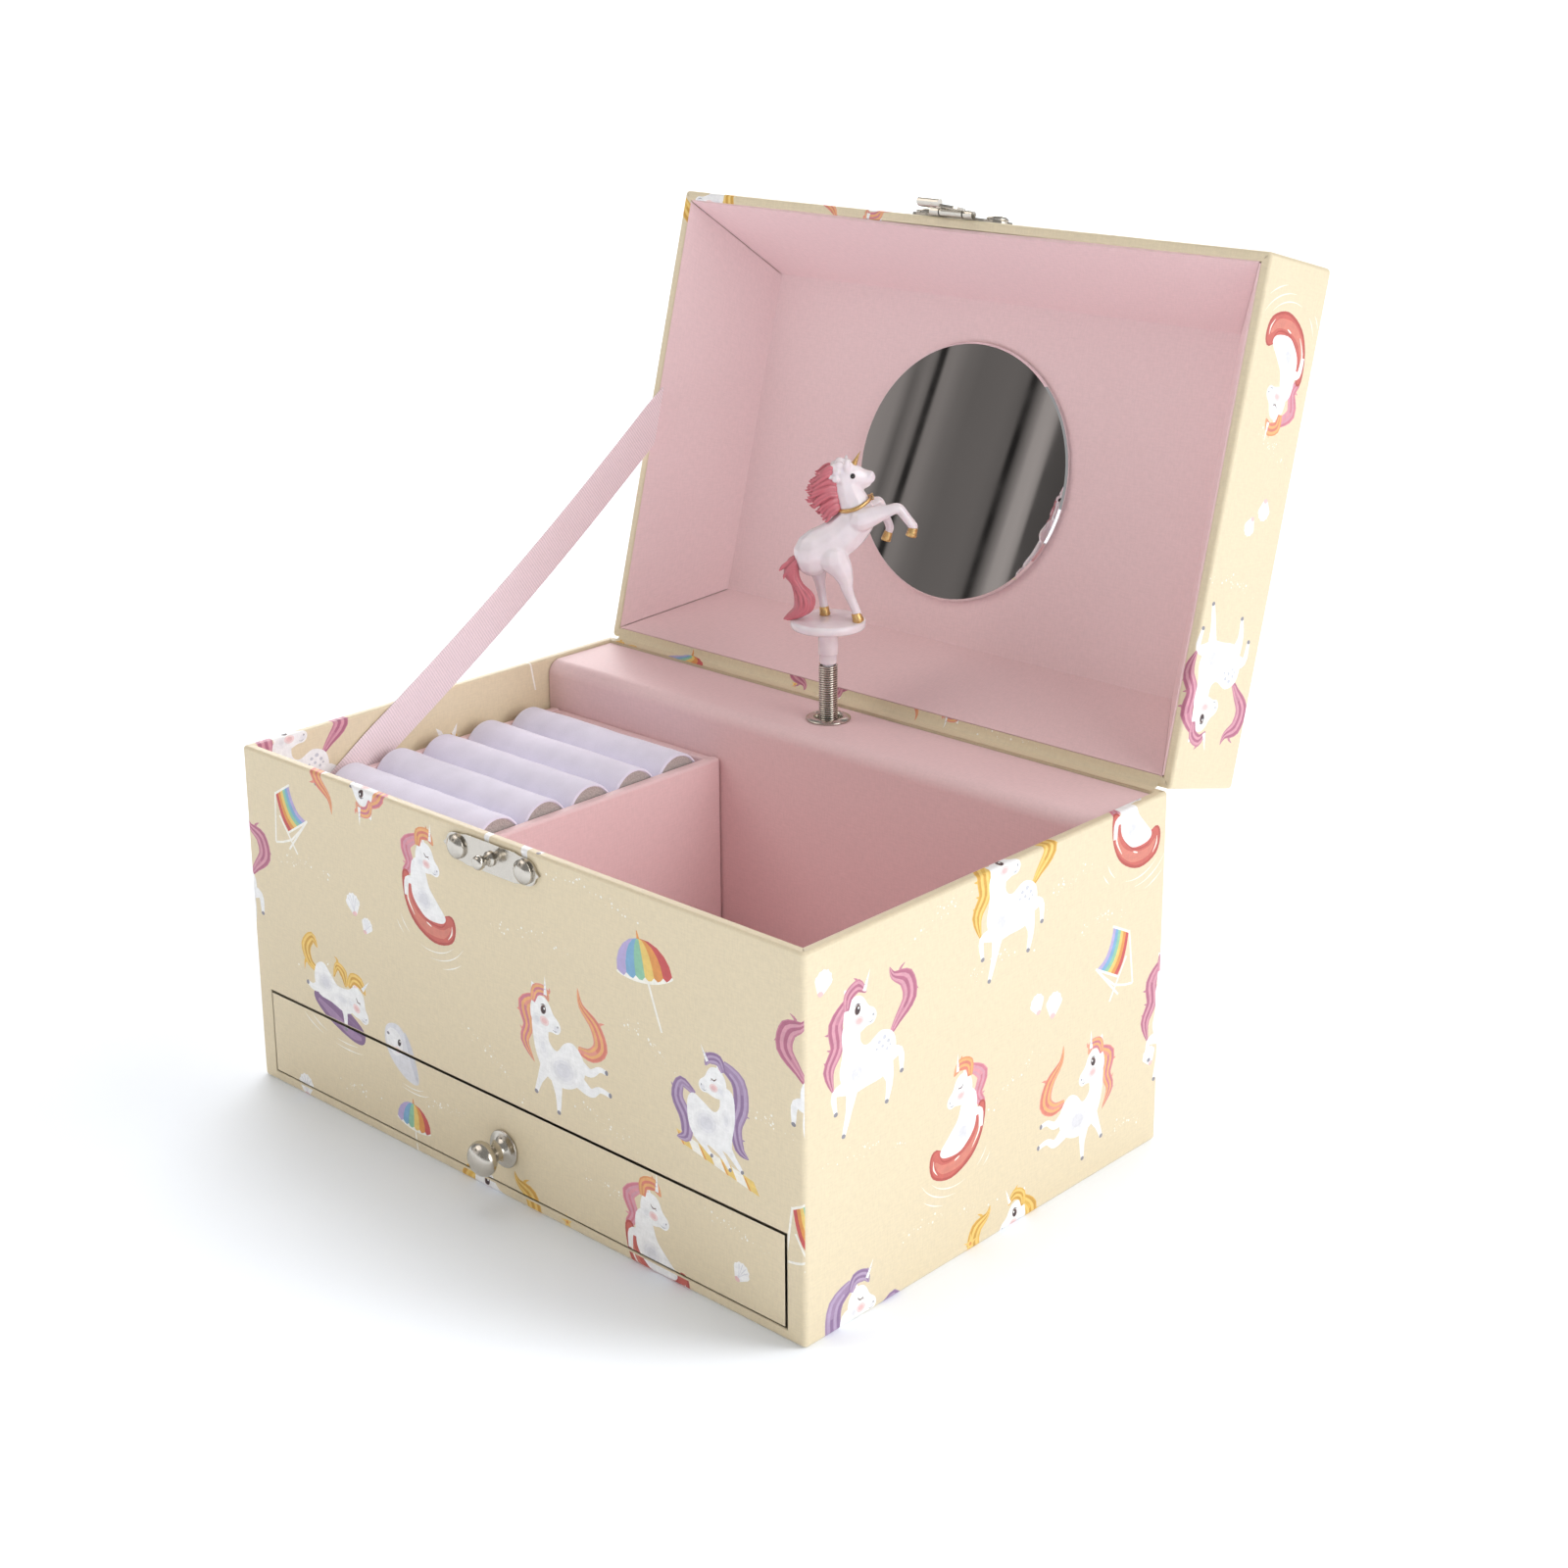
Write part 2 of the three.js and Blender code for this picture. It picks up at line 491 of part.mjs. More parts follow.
// ---------- movement ----------
function addBedplate() {
  const { front, back, left, right, low, high } = BEDPLATE;
  const plate = box(left, right, front, back, low, high);
  const footFlange = box(2, 18, 41, front + 1, low, low + FLANGE);
  const headFlange = box(-6, 31.4, 43, front + 1, high - FLANGE, high);
  const spindleLug = box(-5, 2.6, 44.5, front + 1, TRAIN.low - 3.6, TRAIN.low - 1.6);
  const governorLug = box(17.5, 23.2, 47.1, front + 1, TRAIN.low - 3.6, TRAIN.low - 1.6);
  const fanBracket = box(26.2, 31.4, 42, 43.4, FAN.z - 2.2, high);
  const combPedestal = box(29, 35, DRUM.y + 0.5, front + 1, DRUM.low, DRUM.high + 1.5);
  const arborHole = at(alongY(rod(2.2, front - 2, back + 2)), BARREL.x, 0, BARREL.z);
  const bearing = (x, y, radius, z) => at(rod(radius, z - 2, z + FLANGE + 2, 12), x, y);
  const made = cut(
    join(plate, footFlange, headFlange, combPedestal, spindleLug, governorLug, fanBracket),
    arborHole,
    bearing(SPINDLE.x, SPINDLE.y, SPINDLE.radius + GAP, high - FLANGE),
    bearing(SPINDLE.x, SPINDLE.y, SPINDLE.radius + GAP, TRAIN.low - 3.6),
    bearing(DRUM.x, DRUM.y, 1.3, high - FLANGE),
    bearing(GOVERNOR.x, GOVERNOR.y, 1.1, high - FLANGE),
    bearing(GOVERNOR.x, GOVERNOR.y, 1.0, TRAIN.low - 3.6),
    bearing(DRUM.x, DRUM.y, 1.3, low),
    at(alongY(rod(0.8, 41, 56, 12)), FAN.x, 0, FAN.z),
  );
  add("movement_bedplate", made, steel);
}

// Eighteen teeth, cut by slots into a steel plate that reaches from its pedestal to the drum.
function addComb() {
  const teeth = 18;
  const tip = DRUM.x + DRUM.radius + 0.4;
  const root_ = 28;
  const right = 35;
  const pitch = (DRUM.high - DRUM.low) / teeth;
  const outline = [[right, DRUM.high], [right, DRUM.low]];
  for (let i = 0; i < teeth; i += 1) {
    const low = DRUM.low + i * pitch;
    outline.push([root_, low + 0.2], [tip, low + 0.2], [tip, low + pitch - 0.3], [root_, low + pitch - 0.3]);
  }
  // Drawn as (x, z), it is extruded towards -Y and set on the drum's axis plane.
  const plate = extruded(outline.reverse(), -0.4, 0.4).rotateX(Math.PI / 2);
  add("movement_comb", at(plate, 0, DRUM.y), steel);
}

function addDrum() {
  const cylinder = rod(DRUM.radius, DRUM.low, DRUM.high, 24);
  const lowerWheel = spurWheel(16, 33.5, 35.5, 0.92);
  const upperWheel = spurWheel(DRUM_TEETH, TRAIN.low, TRAIN.high);
  const arbor = rod(1, BEDPLATE.low + 0.5, BEDPLATE.high - 0.5, 12);
  add("pinned_drum", at(join(cylinder, lowerWheel, upperWheel, arbor), DRUM.x, DRUM.y), brass);
}

function addBarrelAndKey() {
  const barrel = join(
    rod(BARREL.radius, BARREL.low, BARREL.high, 24),
    spurWheel(BARREL.teeth, DRUM.y - 1, DRUM.y + 1, 0.9),
  );
  const bore = rod(1.9, BARREL.low - 1, BARREL.high + 1, 16);
  add("spring_barrel", at(alongY(cut(barrel, bore)), BARREL.x, 0, BARREL.z), brass);
  add("winding_arbor", at(alongY(rod(1.5, 42.5, 70, 12)), BARREL.x, 0, BARREL.z), steel);

  const boss = ring(1.75, 3.6, 61.5, 69.8, 16);
  const wings = new THREE.Shape();
  wings.moveTo(-2.5, 0);
  wings.quadraticCurveTo(-12.5, -1.5, -12.5, 7);
  wings.quadraticCurveTo(-12, 13.5, -6.5, 12.5);
  wings.quadraticCurveTo(-2.5, 11.5, 0, 7);
  wings.quadraticCurveTo(2.5, 11.5, 6.5, 12.5);
  wings.quadraticCurveTo(12, 13.5, 12.5, 7);
  wings.quadraticCurveTo(12.5, -1.5, 2.5, 0);
  // The wings are a flat plate in the plane of the arbor, which passes through a slot in it.
  const plate = extruded(wings, -0.8, 0.8).rotateX(Math.PI / 2).translate(0, 0, 65);
  const clearance = rod(1.75, 60, 70.4, 16);
  const key = join(geometryOf(solid(boss)), cut(plate, clearance));
  add("winding_key", at(alongY(key), BARREL.x, 0, BARREL.z), nickel);
}

// The governor wheel meshes with the drum, and drives a three-start worm whose fan brakes on the air.
function addGovernor() {
  const half = 180 / PINION_TEETH;
  const towards = Math.atan2(GOVERNOR.y - DRUM.y, GOVERNOR.x - DRUM.x);
  const pinion = spurWheel(PINION_TEETH, TRAIN.low, TRAIN.high);
  pinion.rotateZ(meshTurn(towards, half));
  const wheel = spurWheel(WORM_WHEEL_TEETH, TRAIN.high + 0.4, TRAIN.high + 1.9, 0.5);
  const arbor = rod(0.8, TRAIN.low - 3, BEDPLATE.high - 0.5, 12);
  add("governor_wheel", at(join(pinion, wheel, rod(1.2, TRAIN.high - 1, TRAIN.high + 1, 12), arbor), GOVERNOR.x, GOVERNOR.y), brass);

  const worm = rod(1.5, 44, 52, 12);
  const shaft = rod(0.5, 38.4, 55.6, 8);
  const blades = box(-FAN.radius, FAN.radius, -0.25, 0.25, 38.2, 41);
  add("governor_fan", at(alongY(join(worm, shaft, blades)), FAN.x, 0, FAN.z), steel);
}

// How far a pinion turns so that one of its spaces faces the tooth of a wheel in direction towards.
function meshTurn(towards, halfStepDegrees) {
  const wheelStep = (2 * Math.PI) / DRUM_TEETH;
  const toothPhase = towards / wheelStep - Math.floor(towards / wheelStep);
  const pinionStep = THREE.MathUtils.degToRad(2 * halfStepDegrees);
  return towards + Math.PI + pinionStep / 2 + toothPhase * pinionStep;
}

function addSpindle() {
  const towards = Math.atan2(SPINDLE.y - DRUM.y, SPINDLE.x - DRUM.x);
  const pinion = spurWheel(PINION_TEETH, TRAIN.low, TRAIN.high);
  pinion.rotateZ(meshTurn(towards, 180 / PINION_TEETH));
  const shaft = rod(SPINDLE.radius, TRAIN.low - 3.4, BEND_Z, 12);
  const tip = at(new THREE.SphereGeometry(SPINDLE.radius, 12, 8), 0, 0, BEND_Z);
  add("figurine_spindle", at(join(pinion, shaft, tip), SPINDLE.x, SPINDLE.y), brass);
  const coil = ring(SPRING.bore, SPRING.radius, BEND_Z + SPRING.radius + 0.2, SPRING.top, 20);
  add("stem_spring", at(coil, SPINDLE.x, SPINDLE.y), nickel);
}

// The lid's back edge pushes the pin down as it shuts, and the pin's finger then stops the fan.
function addStopPin() {
  const { x, y, radius, top } = STOP_PIN;
  const beam = BEDPLATE.high + 2.5;
  const pin = at(rod(radius, beam, top, 12), x, y);
  const arm = box(x - 0.6, FAN.x + 4.2, y - 0.6, y + 0.6, beam, beam + 1.2);
  const reach = box(FAN.x + 3, FAN.x + 4.2, 39, y + 0.6, beam, beam + 1.2);
  const finger = box(FAN.x + 3, FAN.x + 4.2, 39, 40.2, BEDPLATE.high, beam + 1.2);
  add("stop_pin", join(pin, arm, reach, finger), steel);
}

// ---------- figurine: u is forwards, w is sideways and v is up from the platform ----------
function addPlatform() {
  const { radius, underside, top, stub } = PLATFORM;
  const plug = SPRING.bore - GAP;
  const made = turned([
    [0, SPRING.top - 3], [plug, SPRING.top - 3], [plug, SPRING.top + 0.1], [stub, SPRING.top + 0.1],
    [stub, underside], [radius - 0.4, underside], [radius, underside + 0.5], [radius, top - 0.7],
    [radius - 0.6, top], [0, top],
  ], 32);
  add("figurine_platform", made, whiteResin, figurine);
}

function addUnicorn() {
  const v = PLATFORM.top + 0.05;
  const p = (u, w, up) => [u, w, v + up];
  const pieces = [
    ellipsoid(p(-2.6, 0, 16.4), [5.2, 4.6, 5.1], 0),
    ellipsoid(p(2.4, 0, 19.8), [6.0, 4.4, 4.8], -42),
    ellipsoid(p(6.6, 0, 24.2), [4.5, 4.0, 4.6], 0),
    limb(p(6.5, 0, 25.6), p(4.5, 0, 33.4), 3.9, 3.1, 8),
    ellipsoid(p(4.4, 0, 34.7), [3.4, 2.8, 3.3], 0),
    limb(p(6.2, 0, 34.6), p(9.6, 0, 34.4), 2.6, 1.7, 8),
    ellipsoid(p(2.8, 0, 37.2), [2.4, 2.0, 1.9], 0),
    limb(p(6.1, 0, 37.2), p(7.7, 0, 41.0), 0.75, 0.25, 6),
    limb(p(4.4, 1.7, 36.6), p(4.5, 2.3, 39.2), 0.95, 0.4, 6),
    limb(p(4.4, -1.7, 36.6), p(4.5, -2.3, 39.2), 0.95, 0.4, 6),
  ];
  // A leg is a chain of limbs down to its hoof: each joint is [u, w, up, radius].
  const leg = (...joints) => {
    for (let i = 1; i < joints.length; i += 1) {
      const [a, b] = [joints[i - 1], joints[i]];
      pieces.push(limb(p(...a.slice(0, 3)), p(...b.slice(0, 3)), a[3], b[3]));
    }
  };
  leg([7.6, -2.3, 24.8, 2.8], [16.2, -3.0, 27.3, 1.4], [20.0, -2.9, 23.2, 1.15], [19.5, -2.9, 20.9, 1.2]);
  leg([7.8, 2.2, 25.2, 2.7], [12.2, 3.0, 27.6, 1.4], [14.8, 3.0, 21.6, 1.05], [13.9, 3.0, 18.6, 1.15]);
  leg([1.4, -2.4, 15.2, 3.5], [3.9, -3.0, 10.4, 1.95], [4.3, -3.1, 8.4, 1.45], [7.0, -3.1, 1.3, 1.15]);
  leg([-3.0, 2.4, 14.0, 3.3], [-2.0, 3.0, 9.2, 1.5], [-1.6, 3.1, 6.6, 1.15], [-0.7, 3.1, 1.2, 1.15]);
  const whole = pieces.map(solid).reduce((a, b) => a.add(b));
  const below = solid(box(-30, 30, -30, 30, v - 20, v));
  const neckHair = solid(maneShape(0.3));
  const tailHair = solid(tailShape(0.3));
  const body = whole.subtract(below).subtract(neckHair).subtract(tailHair);
  add("unicorn_body", geometryOf(largest(body)), whiteResin, figurine);
  add("unicorn_mane", maneShape(0), pinkResin, figurine);
  add("unicorn_tail", tailShape(0), pinkResin, figurine);
}

const largest = (made) =>
  made.decompose().reduce((a, b) => (a.volume() > b.volume() ? a : b));

// Hair that stands back from the neck. Grown by spare, it makes room for itself in the body.
function maneShape(spare) {
  const v = PLATFORM.top;
  return join(
    ellipsoid([-1.2, 0, v + 34.2], [3.6 + spare, 2.4 + spare, 3.3 + spare], 0),
    ellipsoid([-1.9, 0, v + 30.6], [4.3 + spare, 2.6 + spare, 4.0 + spare], 0),
    ellipsoid([-0.4, 0, v + 27.2], [3.4 + spare, 2.2 + spare, 3.1 + spare], 0),
  );
}

function tailShape(spare) {
  const v = PLATFORM.top + 0.4;
  const curl = [
    [-6.8, 14.4, 1.5], [-8.8, 13.0, 1.9], [-7.9, 9.0, 1.4], [-5.7, 5.4, 2.2], [-6.3, 2.4, 2.2], [-8.5, 1.2, 1.1],
  ];
  const parts = [];
  for (let i = 1; i < curl.length; i += 1) {
    const [a, b] = [curl[i - 1], curl[i]];
    parts.push(limb([a[0], 0, v + a[1]], [b[0], 0, v + b[1]], a[2] + spare, b[2] + spare));
  }
  const start = new THREE.SphereGeometry(curl[0][2] + spare, 8, 6);
  parts.push(start.translate(curl[0][0], 0, v + curl[0][1]));
  return join(...parts);
}

// ---------- cloth pieces that join the lid to the case ----------
// A flat grosgrain strip beside the left walls, from inside the case to inside the lid.
function addRibbon() {
  const open = THREE.MathUtils.degToRad(OPEN_ANGLE);
  const lidPoint = (reach, rise) => [
    HINGE_Y - reach * Math.cos(open) + rise * Math.sin(open),
    HINGE_Z + reach * Math.sin(open) + rise * Math.cos(open),
  ];
  const [y0, z0] = [-24.5, 75.5];
  const [y1, z1] = lidPoint(RIBBON.reach, 0);
  const along = Math.hypot(y1 - y0, z1 - z0);
  const [dy, dz] = [(y1 - y0) / along, (z1 - z0) / along];
  const tuck = 19;
  const tail = 12;
  const half = RIBBON.width / 2;
  const corner = (s, side) => [y0 + dy * s - dz * side * half, z0 + dz * s + dy * side * half];
  const outline = [corner(-tuck, -1), corner(along + tail, -1), corner(along + tail, 1), corner(-tuck, 1)];
  const strip = extruded(outline, RIBBON.x - RIBBON.thickness / 2, RIBBON.x + RIBBON.thickness / 2);
  // Drawn as (y, z) and extruded along x.
  strip.applyMatrix4(
    new THREE.Matrix4().makeBasis(
      new THREE.Vector3(0, 1, 0),
      new THREE.Vector3(0, 0, 1),
      new THREE.Vector3(1, 0, 0),
    ),
  );
  add("stay_ribbon", strip, ribbonCloth);
}

addCase();
addDrawer();
addInsert();
addCover();
addLatch();
addLid();
addHasp();
addBedplate();
addComb();
addDrum();
addBarrelAndKey();
addGovernor();
addSpindle();
addStopPin();
addPlatform();
addUnicorn();
addRibbon();

export default root;
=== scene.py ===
import math
import random

import bmesh
import bpy
import numpy as np
from mathutils import Matrix, Vector, geometry


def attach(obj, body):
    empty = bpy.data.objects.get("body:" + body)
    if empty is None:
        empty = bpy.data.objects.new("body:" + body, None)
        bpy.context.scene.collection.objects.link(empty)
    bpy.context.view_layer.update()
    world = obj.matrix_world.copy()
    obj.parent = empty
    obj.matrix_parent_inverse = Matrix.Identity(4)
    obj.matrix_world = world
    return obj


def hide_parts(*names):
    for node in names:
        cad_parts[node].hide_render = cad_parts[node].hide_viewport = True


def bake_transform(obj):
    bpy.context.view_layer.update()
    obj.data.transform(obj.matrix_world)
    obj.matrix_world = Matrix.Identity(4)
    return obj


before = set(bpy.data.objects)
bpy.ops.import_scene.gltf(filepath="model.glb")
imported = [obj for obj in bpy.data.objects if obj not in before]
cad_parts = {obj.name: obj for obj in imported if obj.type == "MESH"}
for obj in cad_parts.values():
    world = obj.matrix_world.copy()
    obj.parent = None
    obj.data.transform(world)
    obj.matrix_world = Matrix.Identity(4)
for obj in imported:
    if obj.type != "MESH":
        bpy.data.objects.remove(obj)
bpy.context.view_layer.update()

MM = 0.001

# ---------- dimensions in millimetres, the same as the CAD's ----------
HALF_X, HALF_Y, HEIGHT, BOARD = 90.0, 60.0, 85.5, 2.5
SHELF_TOP = 27.0
HINGE = Vector((0, 60.3, 85.65))
OPEN = math.radians(105)
LID_HEIGHT, LID_RIM = 26.2, 0.15
COVER_FRONT, COVER_TOP = 35.0, 84.8
SPINDLE = Vector((-1.2, 48.6, 0))
PLATFORM_TOP = 110.2
FACING = math.radians(44)

LID = Matrix.Translation(HINGE) @ Matrix.Rotation(-OPEN, 4, "X")
FIGURE = Matrix.Translation((SPINDLE.x, SPINDLE.y, 0)) @ Matrix.Rotation(FACING, 4, "Z")
HERE = Matrix.Identity(4)


# ---------- camera and light ----------
def add_camera():
    azimuth, elevation, roll = math.radians(44.03), math.radians(16.79), math.radians(-0.70)
    back = Vector((
        math.sin(azimuth) * math.cos(elevation),
        -math.cos(azimuth) * math.cos(elevation),
        math.sin(elevation),
    ))
    level = Vector((0, 0, 1)).cross(back).normalized()
    upright = back.cross(level)
    right = math.cos(roll) * level + math.sin(roll) * upright
    up = math.cos(roll) * upright - math.sin(roll) * level
    data = bpy.data.cameras.new("camera")
    data.sensor_fit, data.sensor_width, data.lens = "HORIZONTAL", 36, 58.23
    data.shift_x, data.shift_y = 0.0289, -0.0922
    data.clip_end = 100
    camera = bpy.data.objects.new("camera", data)
    turn = Matrix((right, up, back)).transposed().to_4x4()
    camera.matrix_world = Matrix.Translation((0.3890, -0.3860, 0.2813)) @ turn
    bpy.context.scene.collection.objects.link(camera)
    bpy.context.scene.camera = camera


add_camera()


def linear(r, g, b):
    """A colour given in ordinary 0 to 255 screen values."""
    return tuple(
        c / 255 / 12.92 if c / 255 <= 0.04045 else ((c / 255 + 0.055) / 1.055) ** 2.4
        for c in (r, g, b)
    )


# ---------- materials ----------
class Shader:
    """A material with its Principled node, and short ways to add nodes to it."""

    def __init__(self, name, colour, roughness, metallic=0.0, **sockets):
        self.material = bpy.data.materials.new(name)
        self.material.use_nodes = True
        self.tree = self.material.node_tree
        self.surface = self.tree.nodes["Principled BSDF"]
        self.set(self.surface, "Base Color", (*colour, 1))
        self.set(self.surface, "Roughness", roughness)
        self.set(self.surface, "Metallic", metallic)
        for key, value in sockets.items():
            self.set(self.surface, key.replace("_", " "), value)
        self.colour = colour

    @staticmethod
    def set(node, key, value):
        node.inputs[key].default_value = value

    def node(self, kind, inputs=(), **settings):
        made = self.tree.nodes.new("ShaderNode" + kind)
        for key, value in settings.items():
            setattr(made, key, value)
        for key, value in dict(inputs).items():
            if isinstance(value, bpy.types.NodeSocket):
                self.tree.links.new(value, made.inputs[key])
            else:
                made.inputs[key].default_value = value
        return made

    def link(self, output, key):
        self.tree.links.new(output, self.surface.inputs[key])

    def place(self, scale, source="Object"):
        """Texture coordinates, stretched by scale (one number or three)."""
        scale = (scale,) * 3 if isinstance(scale, (int, float)) else scale
        coordinates = self.node("TexCoord").outputs[source]
        return self.node("Mapping", {"Vector": coordinates, "Scale": scale}).outputs["Vector"]

    def noise(self, scale, detail=3.0, source="Object", roughness=0.5):
        return self.node(
            "TexNoise",
            {"Vector": self.place(scale, source), "Scale": 1.0, "Detail": detail, "Roughness": roughness},
        ).outputs["Fac"]

    def math(self, operation, a, b=0.0):
        made = self.node("Math", operation=operation)
        for index, value in enumerate((a, b)):
            if isinstance(value, bpy.types.NodeSocket):
                self.tree.links.new(value, made.inputs[index])
            else:
                made.inputs[index].default_value = value
        return made.outputs[0]

    def span(self, value, low, high, to_low=0.0, to_high=1.0):
        return self.node(
            "MapRange",
            {"Value": value, "From Min": low, "From Max": high, "To Min": to_low, "To Max": to_high},
        ).outputs["Result"]

    def mix(self, factor, a, b, blend="MIX"):
        made = self.node("Mix", data_type="RGBA", blend_type=blend)
        for key, value in ((0, factor), (6, a), (7, b)):
            if isinstance(value, bpy.types.NodeSocket):
                self.tree.links.new(value, made.inputs[key])
            else:
                made.inputs[key].default_value = value if key == 0 else (*value[:3], 1)
        return made.outputs[2]

    def vary(self, value, low, high, dark=0.9, light=1.06):
        """Colours the surface with its own colour, darker or lighter as value goes from low to high."""
        a = tuple(c * dark for c in self.colour)
        b = tuple(min(1, c * light) for c in self.colour)
        self.link(self.mix(self.span(value, low, high), a, b), "Base Color")

    def bump(self, height, distance, strength=1.0):
        made = self.node("Bump", {"Height": height, "Distance": distance, "Strength": strength})
        self.link(made.outputs["Normal"], "Normal")

    def uneven(self, value, low, high):
        """Roughness from low to high as value goes over its middle range."""
        self.link(self.span(value, 0.3, 0.7, low, high), "Roughness")


def linen(shader, source="UV", pitch=2200.0):
    """The height of a fine embossed linen, with threads of uneven depth along both ways of the sheet."""
    across = shader.noise((pitch * 0.22, pitch, pitch), 1.0, source)
    along = shader.noise((pitch, pitch * 0.22, pitch), 1.0, source)
    return shader.math("ADD", across, along)


RIB = 0.7  # millimetres between the ribbon's ribs
CREAM = linear(229, 214, 183)


def printed_paper():
    shader = Shader("printed_paper", CREAM, 0.5, Specular_IOR_Level=0.35)
    ink = shader.node("Attribute", attribute_name="Ink")
    wash = shader.noise(520.0, 4.0, "UV", 0.6)
    grain = shader.noise(2600.0, 2.0, "UV")
    threads = linen(shader)
    # Ink pools unevenly as watercolour does; bare paper shows only its threads.
    pooled = shader.span(wash, 0.3, 0.7, 0.90, 1.04)
    level = shader.node(
        "Mix", {0: ink.outputs["Alpha"], 2: 1.0, 3: pooled}, data_type="FLOAT"
    ).outputs[0]
    shade = shader.math("MULTIPLY", level, shader.span(threads, 0.7, 1.3, 0.955, 1.03))
    shade = shader.math("MULTIPLY", shade, shader.span(grain, 0.3, 0.7, 0.985, 1.01))
    grey = shader.node("CombineColor", {0: shade, 1: shade, 2: shade}).outputs[0]
    shader.link(shader.mix(1.0, ink.outputs["Color"], grey, "MULTIPLY"), "Base Color")
    shader.link(shader.span(threads, 0.7, 1.3, 0.46, 0.58), "Roughness")
    shader.bump(threads, 0.00005, 0.5)
    return shader.material


def pink_paper(name="pink_paper", colour=(241, 209, 210)):
    shader = Shader(name, linear(*colour), 0.55, Specular_IOR_Level=0.35)
    threads = linen(shader)
    shader.vary(threads, 0.7, 1.3, 0.965, 1.03)
    shader.link(shader.span(threads, 0.7, 1.3, 0.5, 0.62), "Roughness")
    shader.bump(threads, 0.00005, 0.5)
    return shader.material


def velvet():
    shader = Shader(
        "velvet", linear(238, 234, 250), 0.95, Specular_IOR_Level=0.15,
        Sheen_Weight=0.35, Sheen_Roughness=0.4,
    )
    pile = shader.noise(5200.0, 3.0)
    drift = shader.noise(160.0, 2.0)
    both = shader.math("ADD", shader.math("MULTIPLY", pile, 0.5), shader.math("MULTIPLY", drift, 0.5))
    shader.vary(both, 0.36, 0.62, 0.94, 1.03)
    shader.bump(pile, 0.00012, 0.5)
    return shader.material


def foam():
    shader = Shader("foam", linear(196, 186, 182), 0.95, Specular_IOR_Level=0.1)
    cells = shader.node(
        "TexVoronoi", {"Vector": shader.place(2400.0), "Scale": 1.0}, feature="F1"
    ).outputs["Distance"]
    shader.vary(cells, 0.1, 0.8, 1.05, 0.80)
    shader.bump(cells, 0.0003, 0.5)
    return shader.material


def ribbon_cloth():
    shader = Shader(
        "ribbon", linear(246, 226, 230), 0.7, Specular_IOR_Level=0.3, Sheen_Weight=0.3,
        Sheen_Roughness=0.4,
    )
    fibres = shader.noise((900.0, 5000.0, 900.0), 2.0)
    # Painted shade in the valleys between the ribs and painted light on the ribs, in step with the ribs'
    # shape.
    length = shader.node("SeparateXYZ", {0: shader.node("TexCoord").outputs["UV"]}).outputs["Y"]
    rib_shading = shader.math("COSINE", shader.math("MULTIPLY", length, 2 * math.pi / (RIB * MM)))
    shader.vary(shader.math("ADD", shader.math("MULTIPLY", rib_shading, 0.35), fibres), 0.1, 0.85, 0.82, 1.03)
    shader.bump(fibres, 0.00004, 0.5)
    return shader.material


def plated(name="nickel", colour=(196, 190, 180), roughness=0.16):
    shader = Shader(name, linear(*colour), roughness, 1.0)
    smear = shader.noise(900.0, 4.0)
    shader.vary(smear, 0.3, 0.7, 0.93, 1.03)
    shader.uneven(smear, roughness * 0.7, roughness * 1.7)
    shader.bump(shader.noise(2600.0, 2.0), 0.00001, 0.25)
    return shader.material


def brushed(name, colour, roughness=0.34):
    shader = Shader(name, linear(*colour), roughness, 1.0)
    lines = shader.noise((600.0, 600.0, 9000.0), 3.0)
    shader.vary(lines, 0.3, 0.7, 0.82, 1.05)
    shader.uneven(lines, roughness * 0.8, roughness * 1.4)
    shader.bump(lines, 0.00001, 0.4)
    return shader.material


def mirror():
    shader = Shader("mirror", linear(244, 244, 245), 0.02, 1.0)
    haze = shader.noise(60.0, 3.0)
    shader.link(shader.span(haze, 0.35, 0.7, 0.012, 0.035), "Roughness")
    shader.vary(haze, 0.3, 0.7, 0.985, 1.0)
    return shader.material


def resin(name, colour, roughness, wash, subsurface=0.0, groove_shade_and_ridge_highlight=0.0):
    """Glossy painted resin, a little darker in patches where the paint is thicker; or, where the last number
    is given, with painted shade in the grooves and a painted highlight on the ridges in place of the darker
    patches.
    """
    shader = Shader(
        name, linear(*colour), roughness, Coat_Weight=0.35, Coat_Roughness=0.12,
        Subsurface_Weight=subsurface, Subsurface_Scale=0.0015,
    )
    patch = shader.noise(wash, 4.0)
    if groove_shade_and_ridge_highlight:
        # Painted shade deep in the grooves and a painted highlight on the ridges, from the mesh's pointiness.
        ridges = shader.node("NewGeometry").outputs["Pointiness"]
        shader.vary(ridges, 0.42, 0.58, 1 - groove_shade_and_ridge_highlight, 1 + groove_shade_and_ridge_highlight)
    else:
        shader.vary(patch, 0.3, 0.7, 0.93, 1.03)
    shader.uneven(patch, roughness * 0.8, roughness * 1.3)
    shader.bump(shader.noise(1500.0, 2.0), 0.00003, 0.3)
    return shader.material


def gold_paint():
    shader = Shader("gold_paint", linear(216, 178, 116), 0.28, 0.9, Coat_Weight=0.3)
    flakes = shader.noise(3800.0, 2.0)
    shader.vary(flakes, 0.3, 0.7, 0.75, 1.15)
    shader.uneven(flakes, 0.25, 0.45)
    shader.bump(flakes, 0.00002, 0.5)
    return shader.material


PAPER = printed_paper()
PINK = pink_paper()
VELVET = velvet()
FOAM = foam()
RIBBON = ribbon_cloth()
NICKEL = plated()
STEEL = brushed("steel", (168, 166, 162))
BRASS = brushed("brass", (190, 156, 84), 0.3)
MIRROR = mirror()
WHITE = resin("white_resin", (239, 230, 234), 0.2, 260.0, 0.08)
# The mane and tail get painted shade in their grooves and a painted highlight on their ridges.
HAIR = resin("pink_resin", (194, 105, 115), 0.38, 700.0, 0.0, 0.36)
GOLD = gold_paint()
BLACK = resin("black_paint", (22, 18, 20), 0.15, 900.0)


